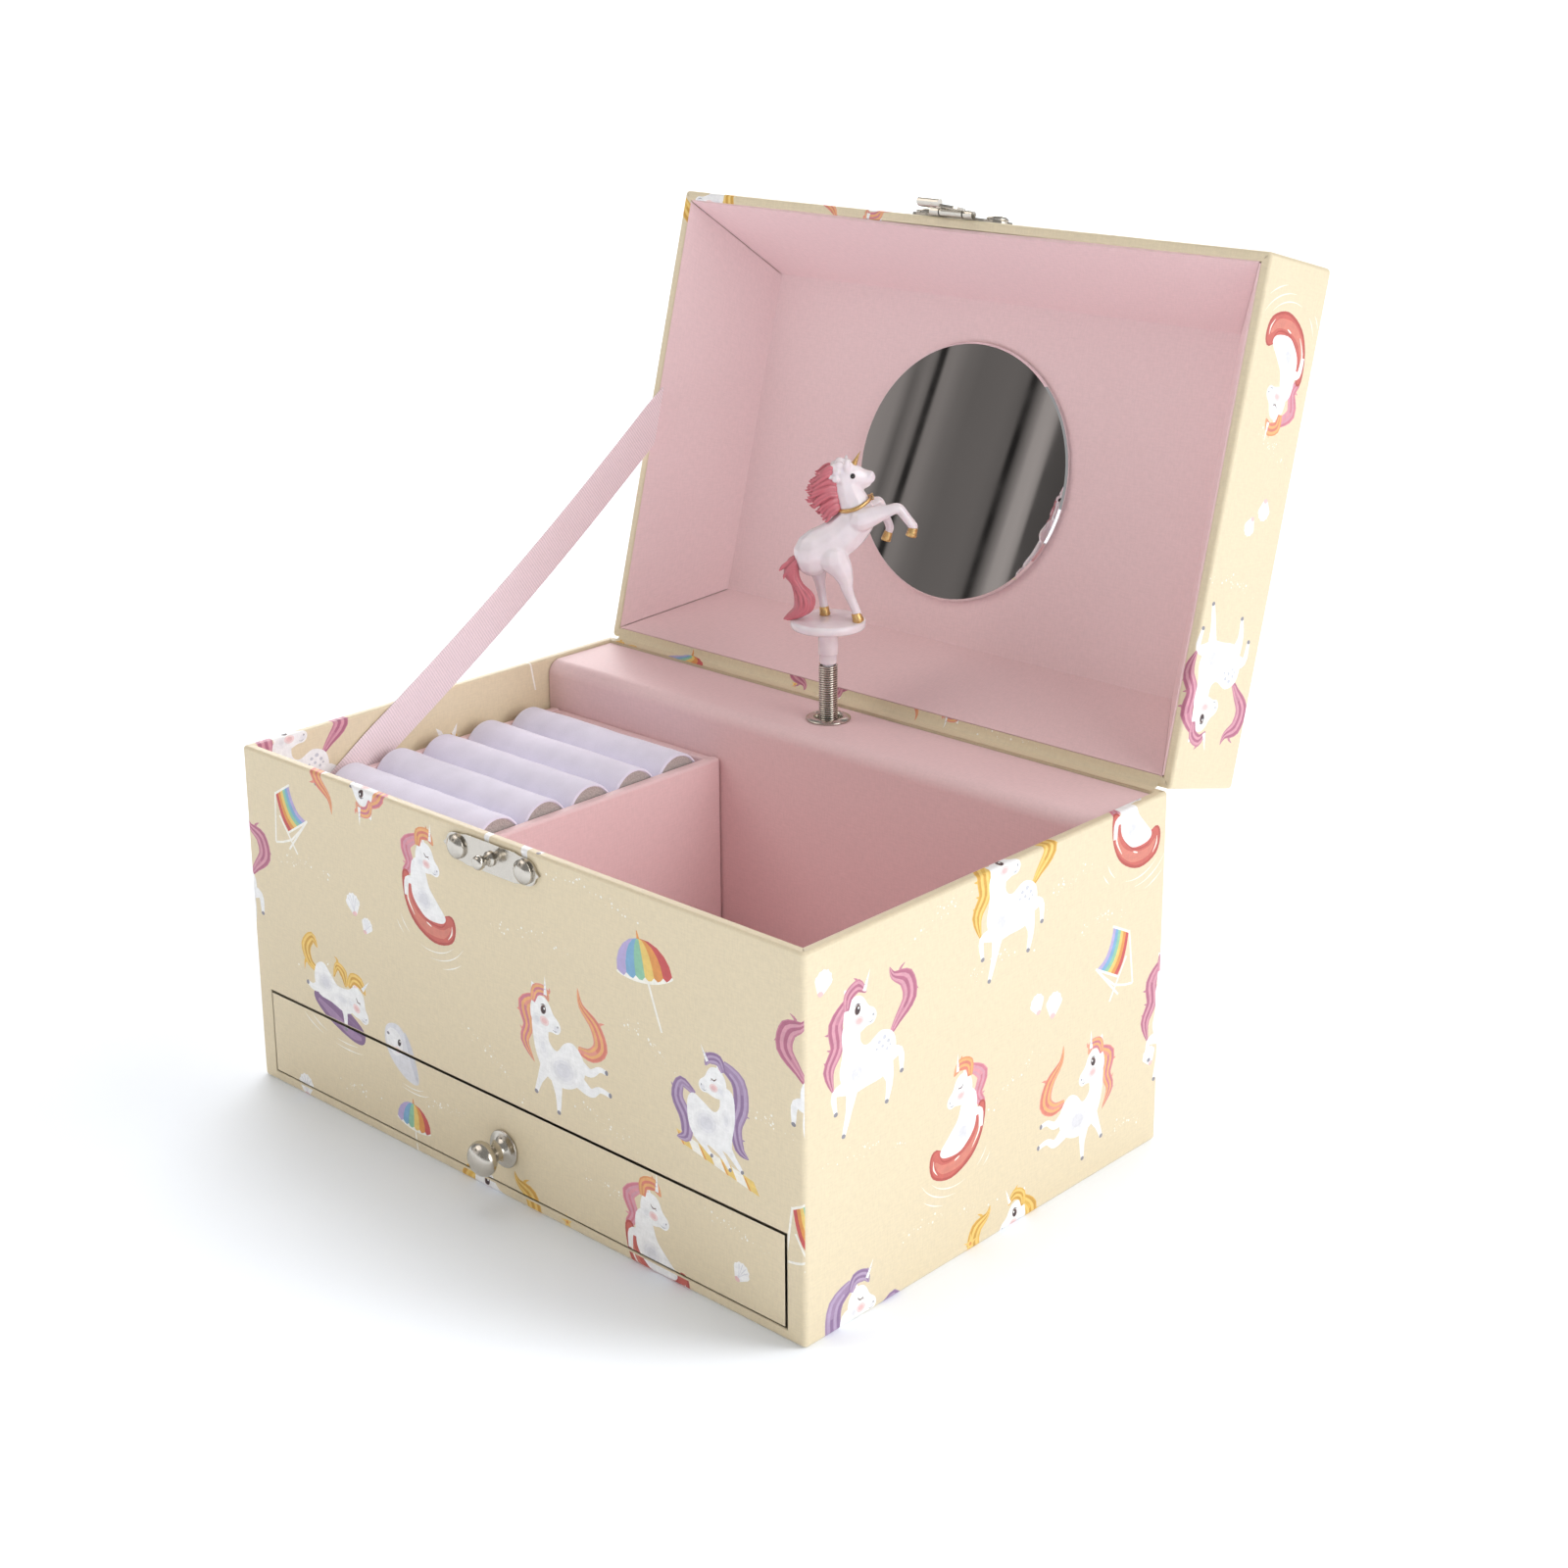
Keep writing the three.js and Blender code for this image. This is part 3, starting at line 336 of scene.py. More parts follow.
# ---------- mesh helpers: coordinates are in millimetres ----------
def add_object(name, mesh, body, replaces=()):
    made = bpy.data.objects.new(name, mesh)
    bpy.context.scene.collection.objects.link(made)
    if replaces:
        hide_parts(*replaces)
    if body:
        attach(made, body)
    return made


def build(name, points, faces, body, material, slot=None, replaces=(), place=HERE, normals=None,
          flat=None, crease=None):
    """A mesh object. flat gives each point's place on its sheet, for patterns that lie along it."""
    mesh = bpy.data.meshes.new(name)
    mesh.from_pydata([(place @ Vector(p)) * MM for p in points], [], faces)
    mesh.materials.append(material)
    if flat is not None:
        layer = mesh.uv_layers.new(name="Flat")
        for loop in mesh.loops:
            layer.data[loop.index].uv = [c * MM for c in flat[loop.vertex_index][:2]]
    mesh.shade_smooth()
    if normals is not None:
        turn = place.to_3x3()
        mesh.normals_split_custom_set_from_vertices([(turn @ Vector(n)).normalized() for n in normals])
    elif crease is not None:
        mesh.set_sharp_from_angle(angle=math.radians(crease))
    return add_object(name, mesh, body, replaces)


def quads(rows, sides):
    """The faces between rows of points that each close on themselves."""
    return [
        [k * sides + i, k * sides + (i + 1) % sides, (k + 1) * sides + (i + 1) % sides, (k + 1) * sides + i]
        for k in range(rows - 1) for i in range(sides)
    ]


def joined(parts):
    """(points, faces, normals, flat) of several parts in one."""
    points, faces, normals, flat = [], [], [], []
    for p, f, n, s in parts:
        faces += [[i + len(points) for i in face] for face in f]
        points += p
        normals += n
        flat += s
    return points, faces, normals, flat


def rounded_box(low, high, radius, steps=3):
    """A box with every edge rounded, as (points, faces, normals, flat)."""
    radius = min(radius, *(0.499 * (b - a) for a, b in zip(low, high)))
    bm = bmesh.new()
    bmesh.ops.create_cube(bm, size=1)
    for v in bm.verts:
        v.co = Vector([b if c > 0 else a for c, a, b in zip(v.co, low, high)])
    bmesh.ops.bevel(
        bm, geom=bm.edges[:], offset=radius, segments=steps, profile=0.5, affect="EDGES", clamp_overlap=True
    )
    inner = [(a + radius, b - radius) for a, b in zip(low, high)]
    points, normals, flat = [], [], []
    bm.verts.ensure_lookup_table()
    index = {}
    faces = []
    # Each face has its own points, so that the sheet's pattern follows the face's own two directions.
    for face in bm.faces:
        main = max(range(3), key=lambda i: abs(face.normal[i]))
        loop = []
        for v in face.verts:
            key = (v.index, main)
            if key not in index:
                index[key] = len(points)
                core = Vector([min(max(c, a), b) for c, (a, b) in zip(v.co, inner)])
                points.append(tuple(v.co))
                normals.append(tuple((v.co - core).normalized()))
                flat.append([(v.co.y, v.co.z), (v.co.x, v.co.z), (v.co.x, v.co.y)][main])
            loop.append(index[key])
        faces.append(loop)
    bm.free()
    return points, faces, normals, flat


def boxes(name, corners, radius, body, material, slot=None, replaces=(), place=HERE, steps=3):
    points, faces, normals, flat = joined([rounded_box(a, b, radius, steps) for a, b in corners])
    return build(name, points, faces, body, material, slot, replaces, place, normals, flat)


def lathe(profile, sides=48, axis="Z", origin=(0, 0, 0)):
    """Turns [(radius, height)] about an axis through origin. Returns (points, faces)."""
    points, faces, rings = [], [], []
    for r, h in profile:
        if r < 1e-6:
            rings.append([len(points)])
            points.append((0, 0, h))
            continue
        rings.append(list(range(len(points), len(points) + sides)))
        points += [
            (r * math.cos(2 * math.pi * i / sides), r * math.sin(2 * math.pi * i / sides), h)
            for i in range(sides)
        ]
    for a, b in zip(rings, rings[1:]):
        for i in range(sides):
            j = (i + 1) % sides
            if len(a) == 1 and len(b) > 1:
                faces.append([a[0], b[j], b[i]])
            elif len(b) == 1 and len(a) > 1:
                faces.append([a[i], a[j], b[0]])
            elif len(a) > 1:
                faces.append([a[i], a[j], b[j], b[i]])
    turn = {"Z": Matrix.Identity(3), "Y": Matrix.Rotation(-math.pi / 2, 3, "X"),
            "-Y": Matrix.Rotation(math.pi / 2, 3, "X"), "X": Matrix.Rotation(math.pi / 2, 3, "Y")}[axis]
    points = [tuple(turn @ Vector(p) + Vector(origin)) for p in points]
    return points, faces


def turned(name, profile, body, material, slot=None, replaces=(), axis="Z", origin=(0, 0, 0),
           place=HERE, sides=48, crease=38):
    points, faces = lathe(profile, sides, axis, origin)
    return build(name, points, faces, body, material, slot, replaces, place, crease=crease)


def arc(cx, cy, radius, start, end, steps):
    """Points of an arc, angles in degrees."""
    return [
        (cx + radius * math.cos(math.radians(start + (end - start) * i / steps)),
         cy + radius * math.sin(math.radians(start + (end - start) * i / steps)))
        for i in range(steps + 1)
    ]


def spline(points, steps=5, closed=True):
    """A smooth curve through the points, as a list of points of the same size."""
    points = [Vector(p) for p in points]
    count = len(points)
    made = []
    for i in range(count if closed else count - 1):
        p = [
            points[(i + k) % count] if closed else points[min(max(i + k, 0), count - 1)]
            for k in (-1, 0, 1, 2)
        ]
        for s in range(steps):
            t = s / steps
            made.append(0.5 * (
                2 * p[1] + (p[2] - p[0]) * t + (2 * p[0] - 5 * p[1] + 4 * p[2] - p[3]) * t * t
                + (3 * p[1] - p[0] - 3 * p[2] + p[3]) * t ** 3
            ))
    return made if closed else made + [points[-1]]


# ---------- the beach print: motifs in millimetres about their own middle, y upwards ----------
INK = {"white": (250, 249, 248), "s1": (245, 244, 244), "s2": (237, 236, 238), "s3": (228, 227, 231),
    "s4": (210, 210, 217), "grey": (146, 142, 150), "dark": (72, 56, 58), "brown": (118, 90, 84),
    "blush": (246, 222, 220), "cheek": (240, 200, 198), "orange": (230, 158, 108), "orange2": (238, 182, 124),
    "coral": (224, 134, 118), "coral2": (232, 156, 138), "rose": (212, 130, 146), "rose2": (226, 156, 166),
    "pink": (202, 134, 154), "pink2": (218, 160, 174), "pink3": (184, 112, 136), "lilac": (168, 142, 176),
    "lilac2": (188, 166, 196), "lilac3": (148, 120, 158), "gold": (232, 188, 92), "gold2": (243, 208, 124),
    "gold3": (216, 164, 76), "red": (206, 92, 92), "ring": (206, 108, 98), "ring2": (218, 136, 120),
    "ring3": (188, 88, 82), "amber": (228, 156, 88), "yellow": (238, 206, 120), "green": (150, 202, 172),
    "blue": (132, 178, 212), "violet": (188, 174, 216), "foam": (252, 248, 238), "plum": (140, 110, 146),
    "plum2": (168, 138, 172)}
INK = {name: linear(*colour) for name, colour in INK.items()}


def ellipse(x, y, rx, ry, tilt=0.0, steps=16):
    c, s = math.cos(math.radians(tilt)), math.sin(math.radians(tilt))
    made = []
    for i in range(steps):
        a = 2 * math.pi * i / steps
        px, py = rx * math.cos(a), ry * math.sin(a)
        made.append((x + px * c - py * s, y + px * s + py * c))
    return made


def stroke(points, widths, steps=4, aside=0.0, start=0.0):
    """A tapering brush stroke along the points, moved aside by a share of its base width."""
    line = spline(points, steps, False)
    count = len(line) - 1
    left, right = [], []
    for i in range(int(start * count), count + 1):
        p, t = line[i], i / count * (len(widths) - 1)
        k = min(int(t), len(widths) - 2)
        wide = widths[k] + (widths[k + 1] - widths[k]) * (t - k)
        d = (line[min(i + 1, count)] - line[max(i - 1, 0)]).normalized()
        n = Vector((-d.y, d.x))
        half, shift = wide / 2, aside
        if aside:
            half, shift = wide * 0.085 + 0.03, aside * wide
        left.append(tuple(p + n * (shift + half)))
        right.append(tuple(p + n * (shift - half)))
    return left + right[::-1]


def blob(*points):
    return [tuple(p) for p in spline(points, 4)]


def hair(points, widths, tones, wisps=()):
    """A lock of hair in three tones: middle, light and deep, with wisps that leave it."""
    middle, light, deep = tones
    made = []
    for at, dx, dy in wisps:
        line = spline(points, 4, False)
        k = int(at * (len(line) - 1))
        root, ahead = line[k], line[min(k + 2, len(line) - 1)]
        d = (ahead - line[max(k - 2, 0)]).normalized()
        tip = root + Vector((dx, dy))
        made.append((middle, stroke([tuple(root), tuple((root + tip) / 2 + d * 0.8), tuple(tip)],
                    [1.3, 0.8, 0.05], 3)))
    made.append((middle, stroke(points, widths)))
    for aside, tone, start in ((-0.34, deep, 0.05), (-0.14, light, 0.12), (0.08, deep, 0.3),
            (0.28, light, 0.0)):
        made.append((tone, stroke(points, widths, 4, aside, start)))
    return made


def put(parts, x, y, turn=0.0, scale=1.0, mirrored=False):
    c, s = math.cos(math.radians(turn)) * scale, math.sin(math.radians(turn)) * scale
    k = -1 if mirrored else 1
    return [(tone, [(x + px * k * c - py * s, y + px * k * s + py * c) for px, py in shape]) for tone,
        shape in parts]


def soft(cx, cy, rx, ry, tilt=0.0, tones=("s1", "s2", "s3")):
    """A soft shadow in steps."""
    return [(tone, ellipse(cx, cy, rx * k, ry * k, tilt)) for tone, k in zip(tones, (1.0, 0.76, 0.5))]


def head(asleep=False):
    """A foal's head about its eye, looking to the right."""
    made = [("white", blob((-2.6, 1.0), (-3.7, 4.9), (-1.0, 2.6))),
        ("blush", blob((-2.5, 1.7), (-3.2, 4.0), (-1.5, 2.5))),
        ("white", blob((-1.6, 2.6), (0.4, 2.7), (1.8, 1.7), (3.0, 0.1), (4.7, -1.0), (5.3, -2.4), (4.5, -3.7),
                (2.7, -3.9), (0.8, -4.6), (-1.6, -4.6), (-3.5, -2.6), (-3.5, 0.6)))]
    made += soft(-1.6, -2.7, 1.5, 1.3, 20, ("s1", "s1", "s2"))
    made += [("blush", ellipse(0.5, -2.3, 1.35, 1.0)), ("cheek", ellipse(0.5, -2.3, 0.8, 0.55)),
             ("s2", ellipse(4.1, -2.7, 0.75, 0.7)), ("grey", ellipse(4.4, -2.1, 0.17, 0.25, 0, 8)),
             ("grey", stroke([(3.0, -3.2), (3.7, -3.4), (4.3, -3.1)], [0.05, 0.16, 0.05], 3))]
    if asleep:
        made += [("brown", stroke([(-0.8, 0.1), (0.1, -0.5), (1.0, 0.0)], [0.12, 0.34, 0.12], 3)),
                 ("brown", stroke([(0.6, -0.3), (1.3, -0.6)], [0.2, 0.05], 2))]
    else:
        made += [("brown", ellipse(0.05, 0.05, 0.78, 1.0, -8)), ("dark", ellipse(0.1, 0.0, 0.58, 0.8, -8)),
            ("white", ellipse(0.3, 0.35, 0.22, 0.26, 0, 8)),
            ("dark", stroke([(-0.8, 0.8), (0.0, 1.2), (0.8, 0.9)], [0.05, 0.24, 0.05], 3))]
    return made


def horn(x, y, tilt, length=4.6):
    c, s = math.sin(math.radians(tilt)), math.cos(math.radians(tilt))
    made = [("white", [(x - 0.55 * s, y + 0.55 * c), (x + length * c, y + length * s),
                (x + 0.55 * s, y - 0.55 * c)])]
    for k in (0.24, 0.46):
        w = 0.5 * (1 - k)
        a, b = (x + length * k * c, y + length * k * s), (x + length * (k + 0.07) * c,
            y + length * (k + 0.07) * s)
        made.append(("s4", [(a[0] - w * s, a[1] + w * c), (b[0] - w * s, b[1] + w * c),
                    (b[0] + w * s, b[1] - w * c)]))
    return made


def leg(points, widths, hoof=True):
    made = [("white", stroke(points, widths))]
    if hoof:
        (ax, ay), (bx, by) = points[-2:]
        d = math.hypot(bx - ax, by - ay)
        made.append(("grey", ellipse(bx + (bx - ax) / d * 0.25, by + (by - ay) / d * 0.25, 0.62, 0.5,
                                     math.degrees(math.atan2(by - ay, bx - ax)) + 90, 10)))
    return made


ORANGE, CORAL, ROSE = ("orange", "orange2", "coral"), ("coral2", "orange2", "coral"), ("rose2", "pink2",
    "rose")
PINKS, LILACS, GOLDS = ("pink", "pink2", "pink3"), ("lilac", "lilac2", "lilac3"), ("gold", "gold2", "gold3")


def running(tones, tail_tones):
    """A foal at the gallop, looking back over its shoulder."""
    made = hair([(5.4, 1.2), (9.4, 1.0), (12.4, 3.6), (11.0, 8.0), (7.0, 11.6), (6.2, 15.4)],
        [1.6, 3.2, 4.4, 3.4, 1.6, 0.1], tail_tones, ((0.55, 2.4, 2.4), (0.35, 2.4, 1.0)))
    made += hair([(-7.4, 9.4), (-11.2, 7.0), (-10.4, 2.4), (-11.8, -1.4), (-9.0, -5.8)],
        [2.4, 4.2, 3.2, 2.8, 0.1], tones, ((0.3, -2.6, -1.4), (0.6, -2.4, 0.4)))
    made += leg([(5.4, -2.2), (8.8, -3.2), (11.6, -1.6), (13.6, -1.7)], [3.6, 2.0, 1.3, 1.1])
    made += leg([(4.6, -6.0), (8.6, -7.8), (11.4, -6.3), (14.4, -6.6)], [4.0, 2.2, 1.4, 1.1])
    made += leg([(-5.6, -6.2), (-7.6, -9.6), (-8.9, -12.4)], [3.6, 1.7, 1.1])
    made += leg([(-2.2, -7.8), (-1.8, -11.8), (-2.0, -15.4)], [4.0, 1.9, 1.1])
    made.append(("white", blob((-8.6, 5.4), (-9.0, 1.0), (-8.0, -4.0), (-5.4, -7.8), (-0.8, -9.4),
                (3.8, -8.2), (6.9, -4.8), (6.6, -0.6), (3.8, 2.0), (0.9, 1.2), (-1.6, -1.2), (-3.9, 0.6),
                (-4.2, 4.2))))
    made += soft(0.2, -5.2, 4.4, 3.2, 10) + soft(-5.8, -1.4, 1.5, 2.6, 10, ("s1", "s1", "s2"))
    made += put(head(), -5.2, 7.4, -8, 1.08)
    made += hair([(-8.4, 8.6), (-7.2, 11.4), (-4.4, 11.8), (-3.2, 9.8)], [1.4, 2.8, 2.6, 0.3], tones,
        ((0.7, 1.6, 1.2),))
    made += horn(-4.2, 11.0, 2)
    return made


def trotting(tones, tail_tones):
    """A foal stepping out, its neck arched and its tail high."""
    made = hair([(6.4, 1.0), (8.6, 3.4), (12.2, 7.2), (11.2, 11.4), (7.2, 13.4), (6.0, 15.6)],
        [0.9, 2.4, 4.6, 4.4, 1.8, 0.1], tail_tones, ((0.5, 2.8, -1.4), (0.7, 1.6, 2.6)))
    made += hair([(-6.6, 12.2), (-10.0, 8.6), (-9.6, 3.6), (-12.0, -0.6), (-10.6, -6.0)],
        [2.4, 4.4, 4.0, 3.4, 0.1], tones, ((0.25, -3.2, -1.2), (0.45, -3.0, -0.8), (0.65, -2.6, 0.2)))
    made += leg([(-6.4, -6.0), (-10.4, -6.2), (-10.0, -10.4)], [3.6, 1.8, 1.0])
    made += leg([(-5.0, -6.4), (-6.0, -11.0), (-7.6, -16.0)], [4.2, 2.0, 1.1])
    made += leg([(5.4, -3.6), (9.4, -3.8), (9.9, -8.0)], [4.2, 2.0, 1.1])
    made += leg([(5.0, -4.8), (6.2, -9.0), (5.4, -13.2)], [4.8, 2.2, 1.1])
    made.append(("white", blob((-8.0, 6.6), (-8.0, 1.8), (-8.8, -3.2), (-6.0, -7.8), (-0.8, -7.8),
                (4.8, -7.2), (7.9, -3.4), (7.4, 1.0), (3.6, 2.8), (-0.4, 1.2), (-2.6, 2.6), (-2.8, 6.4),
                (-5.0, 9.4))))
    made += soft(-3.8, -4.0, 3.0, 3.0, 0) + soft(4.8, -4.0, 2.0, 2.0, 0, ("s1", "s1", "s2"))
    for x, y, r in ((3.0, 0.4, 0.5), (4.6, 1.0, 0.6), (5.8, -0.2, 0.5), (4.0, -0.8, 0.45), (5.4, -1.8, 0.4),
            (2.2, -0.9, 0.35), (6.4, -1.2, 0.3)):
        made.append(("s4", ellipse(x, y, r, r * 0.85, 0, 10)))
    made += put(head(), -3.6, 9.6, -2, 1.1)
    made += hair([(-6.8, 10.4), (-6.2, 13.4), (-3.4, 14.6), (-1.0, 12.6)], [1.4, 3.0, 3.0, 0.4], tones,
        ((0.6, -0.6, 2.2),))
    made += horn(-1.6, 13.0, 22)
    return made


def swimming(tones, mane_tones):
    """A foal resting in a swim ring, with ripples round it."""
    made = hair([(-3.2, 11.4), (-7.6, 8.6), (-6.4, 4.0), (-8.2, 1.0), (-5.6, -0.6)],
        [2.2, 4.0, 3.0, 2.4, 0.2], mane_tones, ((0.45, -2.4, -1.0),))
    made += [("ring3", blob((-9.4, 1.0), (-8.9, -5.6), (-5.4, -11.2), (1.6, -14.3), (8.2, -12.6), (9.8, -8.0),
                (7.6, -5.6), (0.4, -8.8), (-5.2, -4.6), (-7.0, 1.6))),
        ("ring", blob((-9.0, 0.6), (-8.4, -5.6), (-5.0, -10.6), (1.6, -13.6), (7.6, -12.2), (9.2, -8.2),
                (7.2, -6.0), (0.4, -8.8), (-5.2, -4.6), (-7.2, 1.0))),
        ("ring2", stroke([(-7.9, -3.0), (-5.8, -7.8), (-1.0, -10.9), (4.8, -11.2), (7.8, -8.8)],
                [0.6, 1.8, 2.6, 2.2, 0.6]))]
    made += leg([(-4.6, -0.4), (-7.7, -0.6), (-8.2, -4.6)], [2.6, 1.8, 1.4], False)
    made.append(("white", blob((-5.6, 4.8), (-6.2, 0.2), (-5.6, -4.4), (-1.4, -8.4), (4.4, -8.6), (6.2, -6.8),
                (3.4, -3.6), (0.6, -0.4), (-0.6, 3.4), (-2.4, 6.6))))
    made += soft(-1.6, -4.0, 3.2, 2.8, -30)
    made += [("ring3", stroke([(-5.4, -5.2), (-1.0, -8.9), (4.6, -9.4), (6.8, -6.6)], [0.1, 0.4, 0.4, 0.1])),
             ("foam", stroke([(-7.9, -1.6), (-7.6, -5.4), (-5.4, -9.0)], [0.1, 0.6, 0.1])),
             ("foam", stroke([(6.8, -12.0), (8.2, -10.2), (8.4, -8.2)], [0.1, 0.5, 0.1])),
             ("foam", stroke([(-1.0, -9.6), (0.8, -10.3)], [0.2, 0.5, 0.2], 3))]
    made += put(head(True), 0.0, 7.8, -14, 1.02)
    made += hair([(-3.0, 9.4), (-2.4, 12.4), (0.8, 13.0), (2.8, 10.8)], [1.6, 3.2, 3.2, 0.4], tones,
        ((0.55, 1.2, 2.2),))
    made += horn(1.6, 11.6, 4)
    for reach, spans in ((1.24, ((196, 226), (250, 318))), (1.5, ((204, 222), (268, 330))),
            (1.78, ((284, 312),))):
        for start, end in spans:
            line = [(x, -7.6 + (y + 7.6) * 0.8) for x, y in arc(0.2, -7.6, 9.2 * reach, start, end, 5)]
            made.append(("foam", stroke(line, [0.05, 0.34, 0.05], 3)))
    return made


def resting(tones, tail_tones):
    """A foal lying asleep on a striped towel."""
    made = []
    for i in range(7):
        x, y = -12.6 + i * 3.7, -9.6 - i * 0.72
        tone = "foam" if i % 2 else "yellow"
        made.append((tone, [(x, y), (x + 3.7, y - 0.72), (x + 5.6, y - 4.0), (x + 1.9, y - 3.3)]))
        if tone == "yellow":
            made.append(("amber", [(x + 0.5, y - 0.6), (x + 1.1, y - 0.8), (x + 2.9, y - 3.6),
                        (x + 2.3, y - 3.5)]))
    made += hair([(-6.0, 1.8), (-10.4, 3.6), (-12.0, -0.8), (-9.2, -5.6), (-9.2, -10.4), (-12.4, -11.6)],
        [1.4, 3.0, 4.2, 4.6, 3.6, 0.2], tail_tones, ((0.3, -2.4, 0.6),))
    made += hair([(3.6, 12.6), (8.6, 9.6), (9.4, 3.6), (7.6, -2.0), (8.8, -7.6), (11.8, -9.4)],
        [2.6, 5.0, 5.0, 4.2, 3.4, 0.2], tones, ((0.4, 2.8, -2.0), (0.65, 3.0, -1.4)))
    made.append(("white", blob((-8.6, -0.6), (-6.6, 2.0), (-3.2, 0.8), (0.4, -0.8), (2.4, 1.4), (2.6, 6.4),
                (6.6, 6.0), (7.4, 0.0), (6.4, -6.0), (5.6, -10.4), (0.6, -9.6), (-4.2, -10.8), (-8.0, -7.2))))
    made += leg([(3.6, -7.6), (6.8, -11.0), (9.4, -13.4)], [3.6, 1.9, 1.1])
    made += leg([(-1.4, -8.6), (2.6, -11.0), (5.4, -14.2)], [3.4, 1.9, 1.1])
    made += leg([(-5.6, -8.2), (-2.6, -11.2), (-0.8, -12.6)], [3.4, 1.7, 1.0])
    made += soft(-2.2, -4.6, 4.4, 3.4, 16) + soft(4.4, -1.8, 1.5, 3.0, 0, ("s1", "s1", "s2"))
    made += put(head(True), 0.6, 8.0, 8, 1.06, True)
    made += hair([(3.8, 10.6), (2.2, 13.2), (-1.0, 12.8), (-2.2, 10.6)], [1.6, 3.2, 3.0, 0.3], tones,
        ((0.6, -1.6, 1.2),))
    made += horn(-1.6, 11.8, -28)
    return made


def floating(tones, tail_tones):
    """A foal asleep on a float."""
    made = [("plum", blob((-8.8, -2.6), (-9.2, -5.4), (-4.0, -8.6), (4.0, -10.8), (8.6, -10.6), (9.6, -7.8),
                (6.6, -5.2), (-2.4, -1.8))),
        ("plum2", stroke([(-8.0, -4.8), (-2.6, -6.8), (4.6, -9.2), (8.2, -9.2)], [0.8, 2.2, 2.2, 0.8])),
        ("lilac3", stroke([(-6.6, -3.0), (0.0, -4.6), (7.6, -7.0)], [0.2, 0.5, 0.2], 3))]
    made += hair([(-7.6, 2.4), (-11.0, 3.6), (-12.6, 7.2), (-10.2, 10.4), (-8.2, 8.4)],
        [1.2, 2.4, 3.6, 2.8, 0.3], tail_tones, ((0.35, -1.6, -3.4),))
    made += leg([(-7.4, -1.4), (-9.8, -2.4), (-11.8, -2.0)], [3.2, 1.8, 1.1])
    made += leg([(1.4, -2.4), (2.2, -5.4), (2.4, -8.6)], [2.8, 1.6, 1.0])
    made.append(("white", blob((-9.4, 0.0), (-8.8, 3.8), (-6.0, 5.4), (-3.0, 3.2), (-0.6, 1.4), (3.0, 1.8),
                (5.6, 2.6), (6.6, -1.6), (3.0, -4.6), (-3.0, -3.8), (-7.6, -3.4))))
    made += soft(-5.2, 0.6, 2.8, 2.4, 0) + soft(1.2, -1.6, 3.0, 1.5, 0, ("s1", "s1", "s2"))
    made += hair([(-2.0, 3.2), (-0.8, 6.4), (1.6, 5.4), (2.6, 2.2)], [0.4, 2.0, 3.0, 0.8], tones,
        ((0.4, -1.0, 2.2),))
    made += put(head(True), 7.0, 0.4, -26, 1.0)
    made += hair([(3.6, 2.6), (5.0, 5.2), (7.6, 5.2), (9.8, 2.8)], [1.2, 3.0, 3.2, 0.4], tones,
        ((0.7, 2.2, -0.6),))
    made += horn(8.6, 3.6, 38, 4.0)
    for reach in (1.0, 1.28):
        for start, end in ((206, 244), (262, 300)):
            line = [(x, -7.4 + (y + 7.4) * 0.42) for x, y in arc(0.6, -7.4, 12.4 * reach, start, end, 5)]
            made.append(("foam", stroke(line, [0.05, 0.34, 0.05], 3)))
    return made


def tuft():
    """The top of a foal's mane, with its ears."""
    made = hair([(-2.4, -1.6), (-1.0, 1.6), (1.4, 1.2), (2.6, 3.0), (4.6, 3.4)], [2.0, 3.6, 3.4, 1.6, 0.1],
        GOLDS, ((0.3, -1.4, 2.2), (0.6, 2.2, -0.6)))
    made.append(("white", [(-2.8, -0.4), (-3.6, -4.2), (-1.6, -1.8)]))
    made.append(("white", [(0.4, -1.0), (2.2, -1.2), (3.4, -4.4), (1.6, -3.2)]))
    return made


def seal():
    """A round-headed seal looking out of the water."""
    made = [("s3", blob((-5.6, 3.6), (-1.6, 5.2), (2.4, 2.4), (5.6, -2.6), (6.4, -6.8), (2.0, -7.2),
                (-3.4, -4.4), (-6.0, -0.4))),
        ("s4", blob((0.6, 4.4), (3.6, 1.4), (5.8, -3.6), (6.2, -6.4), (3.4, -2.4))),
        ("s1", ellipse(-2.6, 0.4, 2.9, 3.4, 30)), ("blush", ellipse(-1.4, -1.2, 1.0, 0.8)),
        ("dark", ellipse(-0.9, 0.9, 0.6, 0.9, -6)), ("white", ellipse(-0.7, 1.3, 0.2, 0.25, 0, 8)),
        ("grey", ellipse(-5.0, 1.6, 0.5, 0.4, 0, 8))]
    for reach in (0.9, 1.2):
        line = [(x, -6.0 + (y + 6.0) * 0.4) for x, y in arc(2.0, -6.0, 8.0 * reach, 262, 330, 5)]
        made.append(("foam", stroke(line, [0.05, 0.34, 0.05], 3)))
    return made


STRIPES = ["violet", "blue", "green", "yellow", "amber", "red"]


